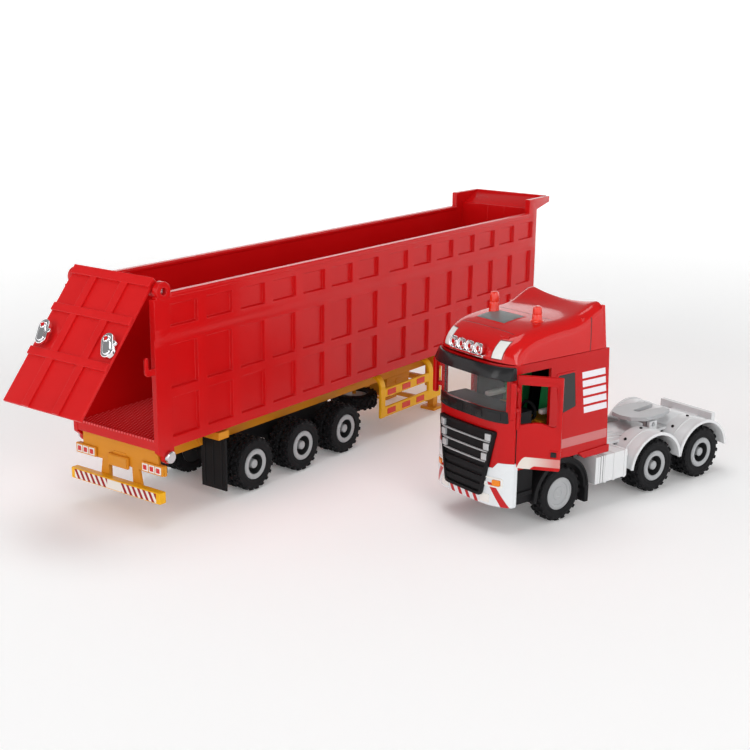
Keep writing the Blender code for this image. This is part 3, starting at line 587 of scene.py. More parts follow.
reflector = moulded("reflector_red", (0.66, 0.030, 0.010), 0.25, 0.004, trailer, coat_weight=0.3).close()
for name, side in (("left", 1), ("right", -1)):
    guard_parts = [solo(cube, (233.6, 318.4), sorted((36.7 * side, 38.9 * side)), limits)
                   for limits in ((15.5, 23.6), (31.4, 38.6))]
    reflectors = []
    for x in (233.8, 300.0):
        post = bmesh.new()
        cube(post, (x, x + 6.0), sorted((36.5 * side, 39.1 * side)), (15.3, 39.0))
        top = [face for face in post.faces if face.calc_center_median().z > 38.9]
        bmesh.ops.spin(post, geom=top, cent=(x, 28.0 * side, 39.0), axis=(side, 0, 0),
                       angle=math.radians(88), steps=8)
        arm = solo(cube, (x, x + 6.0), sorted((17.3 * side, 28.2 * side)), (47.6, 50.0))
        guard_parts += [post, arm]
    for z in (19.6, 35.0):
        for x in (242.5, 262.5, 282.5):
            reflectors.append(solo(cube, (x, x + 11.0), sorted((38.6 * side, 39.25 * side)),
                                   (z - 2.3, z + 2.3)))
    guard = bmesh.new()
    join_softened(guard, guard_parts, 0.6)
    piece("guard_frame_" + name, guard, trailer, "trailer", [yellow], ["side_guard_" + name])
    tiles = bmesh.new()
    join_softened(tiles, reflectors, 0.2, 2)
    piece("guard_reflectors_" + name, tiles, trailer, "trailer", [reflector])


# ---- running gear of the trailer -----------------------------------------------------------------
# Black hangers carry three axles. Each has grey plastic rims that turn with their shaft, and two soft
# black off-road tyres pressed on at either side.

black = moulded("matt_black_plastic", (0.009, 0.009, 0.010), 0.5, 0.015, trailer,
                specular_ior_level=0.12).close()
shape = from_cad("suspension_carrier", trailer)
soften(shape, 0.3)
piece("suspension_moulding", shape, trailer, "trailer", [black], ["suspension_carrier"])
for name, side in (("left", 1), ("right", -1)):
    flap = [solo(cube, (56.2, 57.8), sorted((17.4 * side, 40.0 * side)), (8, 45))]
    flap += [solo(cube, (55.8, 56.6), sorted((y * side - 0.5, y * side + 0.5)), (11, 43))
             for y in (21, 28.7, 36.4)]
    flaps = bmesh.new()
    join_softened(flaps, flap, 0.3, 2)
    piece("rubber_flap_" + name, flaps, trailer, "trailer", [black], ["mud_flap_" + name])

rubber = Finish("tyre_rubber", (0.016, 0.016, 0.017), 0.62, specular_ior_level=0.12)
rubber.colour = rubber.blend((0.007, 0.007, 0.008, 1), (0.014, 0.014, 0.015, 1), rubber.noise(5.0, 4.0))
rubber.gloss = rubber.noise(3.0, 3.0) * 0.2 + 0.5
rubber.raise_by(rubber.noise(0.7, 2.0) * 0.03)
rubber_material = rubber.close()
LUGS = 40


def tyre(bm, low, high, outer=17.65, bead=10.9):
    """One off-road tyre about the Y axis: a turned carcass whose tread faces are raised in blocks."""
    step = (high - low - 2.4) / 4
    tread = [(low + 1.2 + step * index, outer + (0.0, 0.15, 0.2, 0.15, 0.0)[index]) for index in range(5)]
    profile = [(low + 0.9, bead), (low + 0.2, bead + 0.8), (low, 13.2), (low + 0.25, 13.6),
               (low - 0.05, 14.4), (low + 0.1, 15.8), (low + 0.5, 16.9), *tread, (high - 0.5, 16.9),
               (high - 0.1, 15.8), (high + 0.05, 14.4), (high - 0.25, 13.6), (high, 13.2),
               (high - 0.2, bead + 0.8), (high - 0.9, bead)]
    ring = bmesh.new()
    turned(ring, profile + profile[:1], (0, 0, 0), steps=LUGS)
    bmesh.ops.remove_doubles(ring, verts=ring.verts, dist=0.002)
    bmesh.ops.recalc_face_normals(ring, faces=ring.faces)
    ring.normal_update()
    blocks = []
    for face in ring.faces:
        middle = face.calc_center_median()
        place = int((math.atan2(middle.z, middle.x) / math.tau + 1.0) * LUGS)
        column = (middle.y - low - 1.2) / step
        shoulder = column < 1.0 or column > 3.0
        if math.hypot(middle.x, middle.z) > 16.6 and (place + (0 if shoulder else 1)) % 2 == 0:
            blocks.append(face)
    bmesh.ops.inset_individual(ring, faces=blocks, thickness=0.28, depth=1.12, use_even_offset=True)
    for face in ring.faces:
        face.smooth = math.hypot(*face.calc_center_median().xz) < 16.5
    add(bm, ring)


rim_grey = moulded("rim_grey", (0.40, 0.41, 0.42), 0.38, 0.006, coat_weight=0.1).close()
rim_dark = moulded("rim_shadow_black", (0.020, 0.021, 0.022), 0.55, 0.01).close()
DISHED = [(0, 38.4), (2.3, 38.4), (3.1, 37.8), (3.3, 33.2), (6.3, 33.0), (7.1, 38.7), (7.6, 39.2),
          (9.6, 39.3), (9.8, 39.0), (10.5, 39.0), (10.95, 38.2), (10.95, 21.0), (2.0, 21.0)]


def wheels(prefix, x, place, body, limits, dual, rim):
    """The rims on their shaft, and the tyres on the rims, for one axle."""
    low, high = limits
    hub = place @ Matrix.Translation((x, 0, 18.8))
    axle = bmesh.new()
    half = [(along + high - 39.5, radius) for radius, along in rim]
    turned(axle, half + [(-along, radius) for along, radius in reversed(half)], (0, 0, 0), steps=56)
    soften(axle, 0)
    for face in axle.faces:
        # The hollow cone of a twin rim and the bare shaft take the near-black finish. In the cone this is
        # partly black paint and partly painted shade of the deep well.
        middle = face.calc_center_median()
        hollow = 3.35 < math.hypot(middle.x, middle.z) < 7.0 and dual
        face.material_index = int(hollow or abs(middle.y) < low)
    piece(prefix + "_rims", axle, hub, body, [rim_grey, rim_dark], [prefix + "_wheelset"])
    for name, side in (("left", 1), ("right", -1)):
        tyres = bmesh.new()
        middle = (low + high) / 2
        rings = ((low, middle - 0.4), (middle + 0.4, high)) if dual else (limits,)
        for first, last in rings:
            tyre(tyres, *sorted((first * side, last * side)))
        piece(prefix + "_rubber_" + name, tyres, hub, body, [rubber_material],
              [prefix + "_tyre_" + name])


joints = {joint["name"]: joint for joint in frame["joints"]}
for number in (1, 2, 3):
    place = trailer.inverted() @ Vector(joints["trailer_axle_%d_spin" % number]["pos_m"])
    wheels("trailer_axle_%d" % number, place.x, trailer, "trailer_wheels_%d" % number, (20.5, 39.5), True,
           DISHED)

spare = bmesh.new()
tyre(spare, -5.5, 5.5)
disc = [(-4.2, 0), (-4.2, 6.5), (-3.0, 8.0), (-3.0, 10.95), (3.0, 10.95), (3.0, 8.0), (4.2, 6.5), (4.2, 0)]
spare_rim = bmesh.new()
turned(spare_rim, disc, (0, 0, 0))
soften(spare_rim, 0)
hung = trailer @ Matrix.Translation((250, 0, 21.5)) @ Matrix.Rotation(math.radians(90), 4, "X")
piece("spare_rubber", spare, hung, "trailer", [rubber_material], ["spare_wheel"])
piece("spare_rim", spare_rim, hung, "trailer", [rim_grey])


# ---- hoist ---------------------------------------------------------------------------------------
# A telescopic ram of four bright tubes stands under the headboard, on ears of the gooseneck.

for node, body in (("ram_barrel", "ram_tube_0"), ("ram_stage_1", "ram_tube_1"),
                   ("ram_stage_2", "ram_tube_2"), ("ram_rod", "ram_tube_3")):
    shape = from_cad(node, trailer)
    soften(shape, 0)
    piece(node + "_tube", shape, trailer, body, [steel_material], [node])


# ---- chassis and wheels of the tractor -----------------------------------------------------------
# A black frame with the front arches, steps and flaps. The front wheels are single with flat ringed
# hub caps. Both rear axles carry twin tyres on dished rims, as the trailer does.

spin = joints["tractor_axle_1_spin"]
leftward = Vector(spin["axis"])
ahead = leftward.cross(Vector((0, 0, 1)))
stands = Vector((spin["pos_m"][0], spin["pos_m"][1], 0))
tractor = (Matrix.Translation(stands) @ Matrix((ahead, leftward, (0, 0, 1))).transposed().to_4x4()
           @ Matrix.Scale(0.001, 4))
shape = from_cad("tractor_chassis", tractor)
soften(shape, 0.3)
piece("chassis_moulding", shape, tractor, "tractor", [black], ["tractor_chassis"])

arches = bmesh.new()
for side in (1, -1):
    band = arc((0, 18.8), 24.6, -4, 178, 30) + arc((0, 18.8), 21.9, 178, -4, 30)
    lip = arc((0, 18.8), 25.2, -2, 176, 30) + arc((0, 18.8), 23.4, 176, -2, 30)
    join_softened(arches, [solo(side_plate, band, *sorted((23.2 * side, 35.5 * side))),
                           solo(side_plate, lip, *sorted((34.4 * side, 36.2 * side))),
                           solo(cube, (-25.8, -22.4), sorted((22.9 * side, 35.8 * side)), (8.4, 20.4)),
                           solo(cube, (25.2, 40.6), sorted((31.0 * side, 34.4 * side)), (24.6, 27.4))], 0.35)
piece("front_arches", arches, tractor, "tractor", [black])

CAPPED = [(0, 37.9), (2.2, 37.9), (2.7, 38.3), (4.4, 38.3), (4.9, 37.8), (7.5, 37.8), (8.0, 38.4),
          (9.3, 38.6), (9.9, 39.2), (10.95, 38.7), (10.95, 29.5), (2.0, 29.5)]
wheels("tractor_axle_1", 0, tractor, "tractor_wheels_1", (24, 35), False, CAPPED)
for number in (2, 3):
    place = tractor.inverted() @ Vector(joints["tractor_axle_%d_spin" % number]["pos_m"])
    wheels("tractor_axle_%d" % number, place.x, tractor, "tractor_wheels_%d" % number, (16, 35), True, DISHED)


# ---- rear deck -----------------------------------------------------------------------------------
# One silver-white moulding: tanks behind the cab whose rib grooves are dark bands of painted shade,
# a catwalk, a fender with a raised lip over each rear wheel, and a cross member with a slot at the
# very back.

def pierced(bm, outer, holes, low, high):
    """A plate with an (x, z) outline and holes, between two distances y."""
    edges = []
    for loop in (outer, *holes):
        corners = [bm.verts.new((x, low, z)) for x, z in loop]
        edges += [bm.edges.new(pair) for pair in zip(corners, corners[1:] + corners[:1])]
    filled = bmesh.ops.triangle_fill(bm, use_beauty=True, use_dissolve=False, edges=edges)["geom"]
    faces = [item for item in filled if isinstance(item, bmesh.types.BMFace)]
    drawn = bmesh.ops.extrude_face_region(bm, geom=faces, use_keep_orig=True)["geom"]
    bmesh.ops.translate(bm, vec=(0, high - low, 0),
                        verts=[item for item in drawn if isinstance(item, bmesh.types.BMVert)])


SILVER = (0.74, 0.75, 0.76)
silver = moulded("silver_white_plastic", SILVER, 0.34, 0.006, tractor, coat_weight=0.2)
groove_shade_bands = (silver.x + 34.5) % 2.3
# Narrow near-black bands across the tank ends are painted shade for the grooves between the tank's ribs.
silver.paint(silver.x.within(-39.6, -34.4, 0.05) * groove_shade_bands.within(0.0, 0.5, 0.05) * abs(silver.y).above(15.5),
             (0.03, 0.03, 0.03))
silver_material = silver.close()
deck_parts = [solo(cube, (-120, -31.8), (-16, 16), (34.5, 36.4)),
              solo(cube, (-131, -118), (-15.5, 15.5), (34.5, 36.4)),
              solo(cube, (-168, -156.5), (-12, 12), (35.4, 37.0)),
              solo(cube, (-170, -166), (-24, 24), (35, 41.4)),
              solo(side_plate, [(x, 18.8 + (z - 18.8) * 0.93)
                                for x, z in arc((-143.3, 18.8), 25.3, 50, 130, 14)
                                + arc((-143.3, 18.8), 24.0, 130, 50, 14)], -15.5, 15.5)]
for y in (-10.0, -5.0, 0.0, 5.0, 10.0):
    deck_parts.append(solo(cube, (-86, -34), (y - 0.8, y + 0.8), (36.0, 37.0)))
for side in (1, -1):
    deck_parts += [solo(cube, (-62.6, -31.8), sorted((15 * side, 35.7 * side)), (18.4, 37.4)),
                   solo(cube, (-70, -60), sorted((14.5 * side, 30 * side)), (30, 32)),
                   solo(pierced, [(-116, 35), (-108, 35), (-108, 43.0), (-116, 43.0)],
                        [arc((-112, 40.5), 1.6, 0, 345, 23)], *sorted((12.6 * side, 15.2 * side)))]
    deck_parts += [solo(cube, (x, x + 1.6), sorted((15.4 * side, 36.2 * side)), (18.0, 37.8))
                   for x in (-61.0, -50.5, -42.0)]
    for x in (-93.3, -143.3):
        shell = arc((x, 18.8), 25.4, 6, 174, 36) + arc((x, 18.8), 23.9, 174, 6, 36)
        edge = arc((x, 18.8), 26.1, 5, 175, 36) + arc((x, 18.8), 23.9, 175, 5, 36)
        ridge = arc((x, 18.8), 25.9, 20, 160, 30) + arc((x, 18.8), 24.6, 160, 20, 30)
        fender = [solo(side_plate, shell, *sorted((14.5 * side, 35.6 * side))),
                  solo(side_plate, edge, *sorted((34.4 * side, 36.2 * side))),
                  solo(side_plate, ridge, *sorted((24.6 * side, 25.6 * side)))]
        for part in fender:
            for vertex in part.verts:
                vertex.co.z = 18.8 + (vertex.co.z - 18.8) * 0.93
        deck_parts += fender
deck = bmesh.new()
join_softened(deck, deck_parts, 0.3, 2)
piece("silver_deck", deck, tractor, "tractor", [silver_material], ["rear_deck"])
dots = bmesh.new()
for x in (-93.3, -143.3):
    for side in (1, -1):
        for angle in (52, 90, 128):
            (out_x, out_z), = arc((x, 18.8), 25.5, angle, angle + 1, 1)[:1]
            turned(dots, [(-0.6, 0), (-0.6, 1.1), (0.5, 1.1), (0.7, 0.8), (0.7, 0)],
                   (out_x, 20.0 * side, 18.8 + (out_z - 18.8) * 0.93),
                   (math.cos(math.radians(angle)), 0, math.sin(math.radians(angle))), 16)
soften(dots, 0)
piece("fender_studs", dots, tractor, "tractor", [black])

plate_metal = moulded("coupling_grey", (0.45, 0.46, 0.47), 0.3, 0.006, tractor, coat_weight=0.1).close()
shape = from_cad("fifth_wheel", tractor)
soften(shape, 0.4, 3)
piece("coupling_plate_moulding", shape, tractor, "coupling_plate", [plate_metal],
      ["fifth_wheel"])


# ---- cab -----------------------------------------------------------------------------------------
# The cab is a glossy red shell with a bowed front, two doorways and a windscreen opening. Its sides
# carry a dark window, five white stripes and a pale band in thin paint. The shell's inner faces are
# painted near-black, a painted shade of the room inside.

CAB_RED = (0.50, 0.003, 0.004)


CAB_NOSE, CAB_BOW, CAB_HALF = 52.5, 8.0, 35.6


def nose(y):
    """Where the bowed front of the cab stands at a distance y from the middle."""
    return CAB_NOSE - CAB_BOW * (y / 35.0) ** 4


def bend(bm):
    """Cuts a flat front part into strips and bends it to the bow of the cab."""
    for index in range(-11, 12):
        bmesh.ops.bisect_plane(bm, geom=bm.verts[:] + bm.edges[:] + bm.faces[:], dist=0.001,
                               plane_co=(0, index * 3.0, 0), plane_no=(0, 1, 0))
    for vertex in bm.verts:
        vertex.co.x += nose(vertex.co.y)
    return bm


def rounded(corners, radius, steps=5):
    """The same flat outline with its corners rounded off."""
    path = []
    for before, corner, after in zip(corners[-1:] + corners[:-1], corners, corners[1:] + corners[:1]):
        corner = Vector(corner)
        start = corner + (Vector(before) - corner).normalized() * radius
        stop = corner + (Vector(after) - corner).normalized() * radius
        for step in range(steps + 1):
            share = step / steps
            path.append(tuple(start * (1 - share) ** 2 + corner * 2 * share * (1 - share)
                              + stop * share ** 2))
    return path


def facing(bm, outer, holes, near, far):
    """A pierced plate with a (y, z) outline, standing across the front between two offsets."""
    pierced(bm, outer, holes, near, far)
    for vertex in bm.verts:
        vertex.co = (vertex.co.y, vertex.co.x, vertex.co.z)


cab_paint = moulded("cab_red", CAB_RED, 0.2, 0.004, tractor, coat_weight=0.1, coat_roughness=0.04,
                    specular_ior_level=0.2)
on_side = abs(cab_paint.y).above(35.0, 0.1)
lean = cab_paint.x - (cab_paint.z - 71.3) * 0.13
stripes = (((cab_paint.z - 71.0) % 5.95).within(0.0, 4.3) * cab_paint.z.within(71.0, 99.8)
           * lean.within(-38.9, -17.4))
cab_paint.paint(stripes * on_side, (0.80, 0.76, 0.80), 0.35)
band = cab_paint.z.within(50.5, 56.7) * cab_paint.x.within(-40.2, 4.0)
cab_paint.paint(band * on_side, (0.56, 0.17, 0.17), 0.3)
curve = cab_paint.x + cab_paint.y * cab_paint.y * cab_paint.y * cab_paint.y * (CAB_BOW / 35.0 ** 4)
# The inner faces of the red shell are painted near-black: painted shade inside the cab.
room_shade = ((1.0 - abs(cab_paint.y).above(33.4, 0.05)) * (1.0 - curve.above(50.4, 0.05))
          * (cab_paint.x - (cab_paint.z - 40.5) * 0.0458).above(-40.0, 0.05)
          * cab_paint.z.within(45.0, 109.0))
cab_paint.paint(room_shade, (0.014, 0.013, 0.013), 0.5)
cab_material = cab_paint.close()

half_bow = (CAB_HALF, 34.6, 33.4, 32.2, 30.8, 28, 25, 21, 16, 10, 5, 0)
plan = [(14.2, CAB_HALF), (42.9, CAB_HALF),
        *[(nose(y), y) for y in (*half_bow, *(-y for y in half_bow[-2::-1]))],
        (42.9, -CAB_HALF), (14.2, -CAB_HALF), (-41.5, -CAB_HALF), (-41.5, CAB_HALF)]
levels = (43.6, 45.5, 74.0, 82.0, 103.0, 106.5, 112.1)
walls = bmesh.new()
grid = [[walls.verts.new((x + (z - 40.5) * 0.0458 if x < -30 else x, y, z)) for x, y in plan] for z in levels]
for row, (low, high) in enumerate(zip(levels, levels[1:])):
    for index, start in enumerate(plan):
        stop = plan[(index + 1) % len(plan)]
        doorway = (abs(start[1]) == CAB_HALF and abs(stop[1]) == CAB_HALF
                   and abs(start[0] + stop[0] - 57.1) < 0.01)
        screen = abs(start[1]) <= 30.8 and abs(stop[1]) <= 30.8 and 82 <= low < 103
        if screen or (doorway and 45 < low < 106):
            continue
        after = (index + 1) % len(plan)
        walls.faces.new((grid[row][index], grid[row][after], grid[row + 1][after], grid[row + 1][index]))
bmesh.ops.recalc_face_normals(walls, faces=walls.faces)
bmesh.ops.solidify(walls, geom=walls.faces[:], thickness=2.6)
soften(walls, 0.55, 3)
cab = bmesh.new()
add(cab, walls)
inner = [(x if x < 0 else x - 1.4, y * 0.96) for x, y in plan]
join_softened(cab, [solo(outline, [(x, y, 43.8) for x, y in inner], (0, 0, 3.7)),
                    solo(outline, [(max(x, -37.5), y, 108.4) for x, y in inner], (0, 0, 2.8)),
                    *[solo(side_plate, rounded([(-42.4, 40.2), (-18.6, 40.2), (-13.6, 44.6), (-42.4, 45.4)],
                                               0.8),
                           *sorted((31.0 * side, 36.6 * side))) for side in (1, -1)]], 0.3, 2)
piece("cab_walls", cab, tractor, "tractor", [cab_material], ["cab_shell"])

dark_glass = moulded("dark_window", (0.014, 0.016, 0.015), 0.1, 0.002, tractor, coat_weight=0.5).close()
panes = bmesh.new()
for side in (1, -1):
    pane = rounded([(8.2, 100.4), (-7.0, 100.6), (-9.2, 77.3), (5.1, 74.0)], 1.2)
    join_softened(panes, [solo(side_plate, pane, *sorted((35.2 * side, 35.85 * side)))], 0.2, 2)
piece("rear_side_windows", panes, tractor, "tractor", [dark_glass])
window_seals = bmesh.new()
for side in (1, -1):
    outer = rounded([(9.3, 101.6), (-8.0, 101.8), (-10.4, 76.4), (5.9, 72.7)], 1.6)
    hole = rounded([(8.0, 100.2), (-6.8, 100.4), (-9.0, 77.5), (4.9, 74.3)], 1.2)
    join_softened(window_seals, [solo(pierced, outer, [hole], *sorted((35.2 * side, 36.05 * side)))], 0.25, 2)
piece("rear_window_frames", window_seals, tractor, "tractor", [cab_material])


# ---- roof ----------------------------------------------------------------------------------------
# The high roof is a separate red moulding that sits on the walls with a fine joint. It rises from the
# visor in one curve and ends in a hollow air deflector, swept up to a tip at each rear corner.

TOP = ((52.4, 112.8), (52.0, 115.4), (51.0, 118.4), (49.2, 121.2), (46.4, 124.0), (42.8, 126.4),
       (38.4, 128.4), (33.0, 130.0), (26.0, 131.3), (18.0, 132.3), (8.0, 133.1), (-2.0, 133.8),
       (-7.0, 134.5), (-11.0, 135.7), (-15.0, 137.3), (-19.0, 139.3), (-23.0, 141.4), (-27.0, 143.3),
       (-30.5, 144.0))


def roof_top(x):
    """The height of the roof's middle line at a distance x, before the deflector's dip."""
    for (near, low), (far, high) in zip(TOP, TOP[1:]):
        if near >= x >= far:
            return low + (high - low) * (near - x) / (near - far)
    return TOP[-1][1]


def roof_section(x, top):
    """Points across the roof at one station, from its left foot over the top to its right foot."""
    tall = top - 112.5
    corner = min(9.5, tall)
    drop = 8.0 * min(1.0, max(0.0, (x - 8.0) / 38.0))
    dip = 5.4 * min(1.0, max(0.0, (-5.0 - x) / 20.0))
    half = [(35.6, 0.0), (35.5, (tall - corner) * 0.5)]
    half += [(27.0 + 8.3 * math.cos(a), tall - corner + corner * math.sin(a))
             for a in (math.radians(90.0 * step / 10) for step in range(11))]
    half += [(27.0 * (1 - step / 9.0), tall) for step in range(1, 9)]
    across = half + [(0.0, tall)] + [(-y, z) for y, z in reversed(half)]
    points = []
    for y, z in across:
        share = min(1.0, z / max(tall, 0.01))
        crown = (0.9 - dip) * (1.0 - (y / 33.5) ** 2) * share ** 3
        points.append((x - drop * (y / 35.0) ** 4, y, 112.5 + z + crown))
    return points


roof_paint = moulded("roof_red", (0.58, 0.004, 0.004), 0.14, 0.004, tractor,
                     coat_weight=0.3, coat_roughness=0.03, specular_ior_level=0.25)
slanted = abs(roof_paint.y) - (roof_paint.z - 115.0) * 0.06
corner_panel = (slanted.within(19.6, 26.6, 0.12) * roof_paint.z.within(115.2, 125.4, 0.12)
                * roof_paint.x.above(34.0))
corner_edge = (slanted.within(19.1, 27.1, 0.12) * roof_paint.z.within(114.7, 125.9, 0.12)
               * roof_paint.x.above(34.0))
roof_paint.paint(corner_edge, (0.22, 0.002, 0.002), 0.3)
roof_paint.paint(corner_panel, (0.74, 0.74, 0.72), 0.25)
roof_paint.raise_by(corner_edge * -0.3 + corner_panel * 0.3)
side_seam = roof_paint.x.within(-20.6, -19.8, 0.1) * abs(roof_paint.y).above(34.6)
cross_seam = ((roof_paint.x.within(4.6, 5.1, 0.1) + roof_paint.x.within(36.8, 37.2, 0.1))
              * (1.0 - abs(roof_paint.y).above(24.0)))
roof_paint.paint(side_seam + cross_seam, (0.16, 0.002, 0.002), 0.4)
roof_paint.raise_by((side_seam + cross_seam) * -0.4)
roof_material = roof_paint.close()
skin = bmesh.new()
rows = [[skin.verts.new(point) for point in roof_section(x, z)] for x, z in TOP]
for first, second in zip(rows, rows[1:]):
    for index in range(len(first) - 1):
        skin.faces.new((first[index], first[index + 1], second[index + 1], second[index]))
bmesh.ops.recalc_face_normals(skin, faces=skin.faces)
if sum(face.normal.z for face in skin.faces) < 0:
    bmesh.ops.reverse_faces(skin, faces=skin.faces)
bmesh.ops.solidify(skin, geom=skin.faces[:], thickness=2.2)
soften(skin, 0.5, 3, 50)
roof = bmesh.new()
add(roof, skin)
join_softened(roof, [solo(cube, (-15.0, -12.6), (-34.0, 34.0), (112.0, 134.6)),
                     *[solo(side_plate, [(-36.8, 106.2), (-18.0, 106.2), (-18.0, 112.6), (-30.2, 141.0),
                                         (-32.6, 141.0)],
                            *sorted((32.2 * side, 34.9 * side))) for side in (1, -1)]], 0.4)
piece("cab_roof", roof, tractor, "tractor", [roof_material])

hatch_grey = moulded("hatch_grey", (0.16, 0.17, 0.17), 0.35, 0.008, tractor).close()


def on_roof(name, x, y, lift, thickness, finish):
    """A thin panel that follows the top of the roof."""
    panel = bmesh.new()
    lines = []
    for row in range(9):
        along = x[0] + (x[1] - x[0]) * row / 8
        lines.append([panel.verts.new((along, across,
                                       roof_top(along) + 0.9 * (1 - (across / 33.5) ** 2) + lift))
                      for across in (y[0] + (y[1] - y[0]) * column / 8 for column in range(9))])
    for first, second in zip(lines, lines[1:]):
        for index in range(8):
            panel.faces.new((first[index], second[index], second[index + 1], first[index + 1]))
    drawn = bmesh.ops.extrude_face_region(panel, geom=panel.faces[:], use_keep_orig=True)["geom"]
    bmesh.ops.translate(panel, vec=(0, 0, -thickness),
                        verts=[item for item in drawn if isinstance(item, bmesh.types.BMVert)])
    soften(panel, 0.2, 2)
    piece(name, panel, tractor, "tractor", [finish])


on_roof("roof_hatch", (12.0, 29.5), (-19.0, 6.8), 0.45, 1.2, hatch_grey)
on_roof("hatch_rim", (11.0, 30.5), (-20.0, 7.8), 0.22, 1.2, roof_material)
on_roof("roof_dimple", (40.0, 42.0), (17.0, 24.0), 0.2, 0.8, roof_material)

beacon_red = moulded("beacon_red", (0.80, 0.030, 0.012), 0.1, 0.02, tractor, coat_weight=0.8).close()
for name, x, y, tall, flare in (("left", 12.6, 19.0, 10.2, 0.9), ("right", 14.4, -19.0, 13.4, 0.3)):
    low = 132.8
    body = [(low - 0.6, 0), (low - 0.6, 3.2 + flare), (low + 0.9, 3.3 + flare), (low + 1.6, 3.4),
            (low + 2.4, 3.2), (low + tall * 0.45, 3.2), (low + tall * 0.5, 2.9), (low + tall * 0.55, 3.15),
            (low + tall - 1.6, 3.0 - flare / 3), (low + tall - 0.5, 2.4), (low + tall, 1.4), (low + tall, 0)]
    lens = bmesh.new()
    turned(lens, body, (x, y, 0), (0, 0, 1), 40)
    soften(lens, 0)
    piece("beacon_lens_" + name, lens, tractor, "tractor", [beacon_red], ["beacon_" + name])

bar = bmesh.new()
lamp_parts = [bend(solo(cube, (-2.6, 3.0), (-15.6, 15.6), (114.6, 116.4)))]
for y in (-11.7, -3.9, 3.9, 11.7):
    at = (nose(y) + 2.2, y, 120.0)
    lamp_parts.append(solo(turned, [(-3.0, 0), (-3.0, 2.2), (-1.2, 3.7), (0.9, 3.95), (1.3, 3.6),
                                    (1.1, 3.2), (0.2, 3.1), (0.0, 2.2), (0.9, 1.7), (1.2, 0)], at,
                           (1, 0, 0), 40))
for part in lamp_parts:
    soften(part, 0.25 if part is lamp_parts[0] else 0)
    add(bar, part)
piece("roof_lamps", bar, tractor, "tractor", [chrome_material], ["lamp_bar"])


# ---- front of the cab ----------------------------------------------------------------------------
# Below a black visor come the clear windscreen, a black cowl, a tapered black grille with silver
# slats, and a white bumper with red warning bars and headlamps.

gloss_black = moulded("visor_black", (0.012, 0.012, 0.013), 0.25, 0.006, tractor, coat_weight=0.15).close()
visor = bmesh.new()
shape = solo(outline, [(5.8, y, z) for y, z in rounded([(-36.2, 103.0), (-32.0, 102.9), (-29.0, 103.9),
                                                        (29.0, 103.9), (32.0, 102.9), (36.2, 103.0),
                                                        (35.8, 111.2), (-35.8, 111.2)], 0.9)], (-5.2, 0, 0))
for vertex in shape.verts:
    if vertex.co.x > 3.0:
        vertex.co.x -= max(0.0, vertex.co.z - 105.0) * 0.55
join_softened(visor, [bend(shape)], 0.5, 3)
piece("visor_moulding", visor, tractor, "tractor", [gloss_black], ["sun_visor"])

clear = moulded("clear_screen", (0.80, 0.82, 0.82), 0.05, 0.001, tractor, alpha=0.05).close()
screen = bmesh.new()
join_softened(screen, [bend(solo(cube, (-2.0, -1.0), (-30.6, 30.6), (82.1, 102.9)))], 0)
piece("windscreen_pane", screen, tractor, "tractor", [clear], ["windscreen"])

cowl = bmesh.new()
join_softened(cowl, [bend(solo(facing, rounded([(-32.6, 74.6), (32.6, 74.6), (31.8, 82.2), (-31.8, 82.2)],
                                               1.0), [],
                               -0.6, 0.5)),
                     *[bend(solo(facing, rounded([(y, 76.0), (y + 10.6, 76.0), (y + 10.6, 80.8), (y, 80.8)],
                                                 0.6), [],
                                 0.2, 0.95)) for y in (-28.4, -14.4, 3.8, 17.8)]], 0.25, 2)
piece("wiper_cowl", cowl, tractor, "tractor", [gloss_black])

grille_edge = [(-26.4, 68.8), (26.4, 68.8), (17.2, 24.5), (-17.2, 24.5)]
grille_hole = [(-24.6, 67.2), (24.6, 67.2), (15.8, 26.4), (-15.8, 26.4)]
grille = bmesh.new()
rows = [solo(facing, rounded(grille_edge, 2.2), [rounded(grille_hole, 1.6)], -0.4, 2.7),
        solo(facing, rounded(grille_edge, 2.2), [], -0.4, 1.0)]
rows += [solo(facing, rounded([(-half, z - 1.9), (half, z - 1.9), (half + 0.8, z + 1.9),
                               (-half - 0.8, z + 1.9)], 0.9), [],
              0.6, 2.2) for z, half in ((41.8, 19.2), (35.6, 17.8), (29.8, 16.6))]
join_softened(grille, [bend(row) for row in rows], 0.35)
piece("grille_frame", grille, tractor, "tractor", [black], ["grille"])
slat_silver = moulded("slat_silver", (0.48, 0.49, 0.50), 0.25, 0.004, tractor, coat_weight=0.2).close()
slats = bmesh.new()
rows = [solo(cube, (0.8, 2.5), (-half, half), (z - 0.35, z + 0.35)) for z, half in
        ((61.4, 23.3), (54.6, 21.9), (47.8, 20.4))]
for z, half in ((57.9, 22.7), (51.1, 21.2), (64.4, 23.8)):
    rows += [solo(cube, (0.8, 2.9), sorted((side * half, side * (half - 4.2))), (z - 2.2, z + 2.2))
             for side in (1, -1)]
join_softened(slats, [bend(row) for row in rows], 0.2, 2)
piece("grille_slats", slats, tractor, "tractor", [slat_silver])

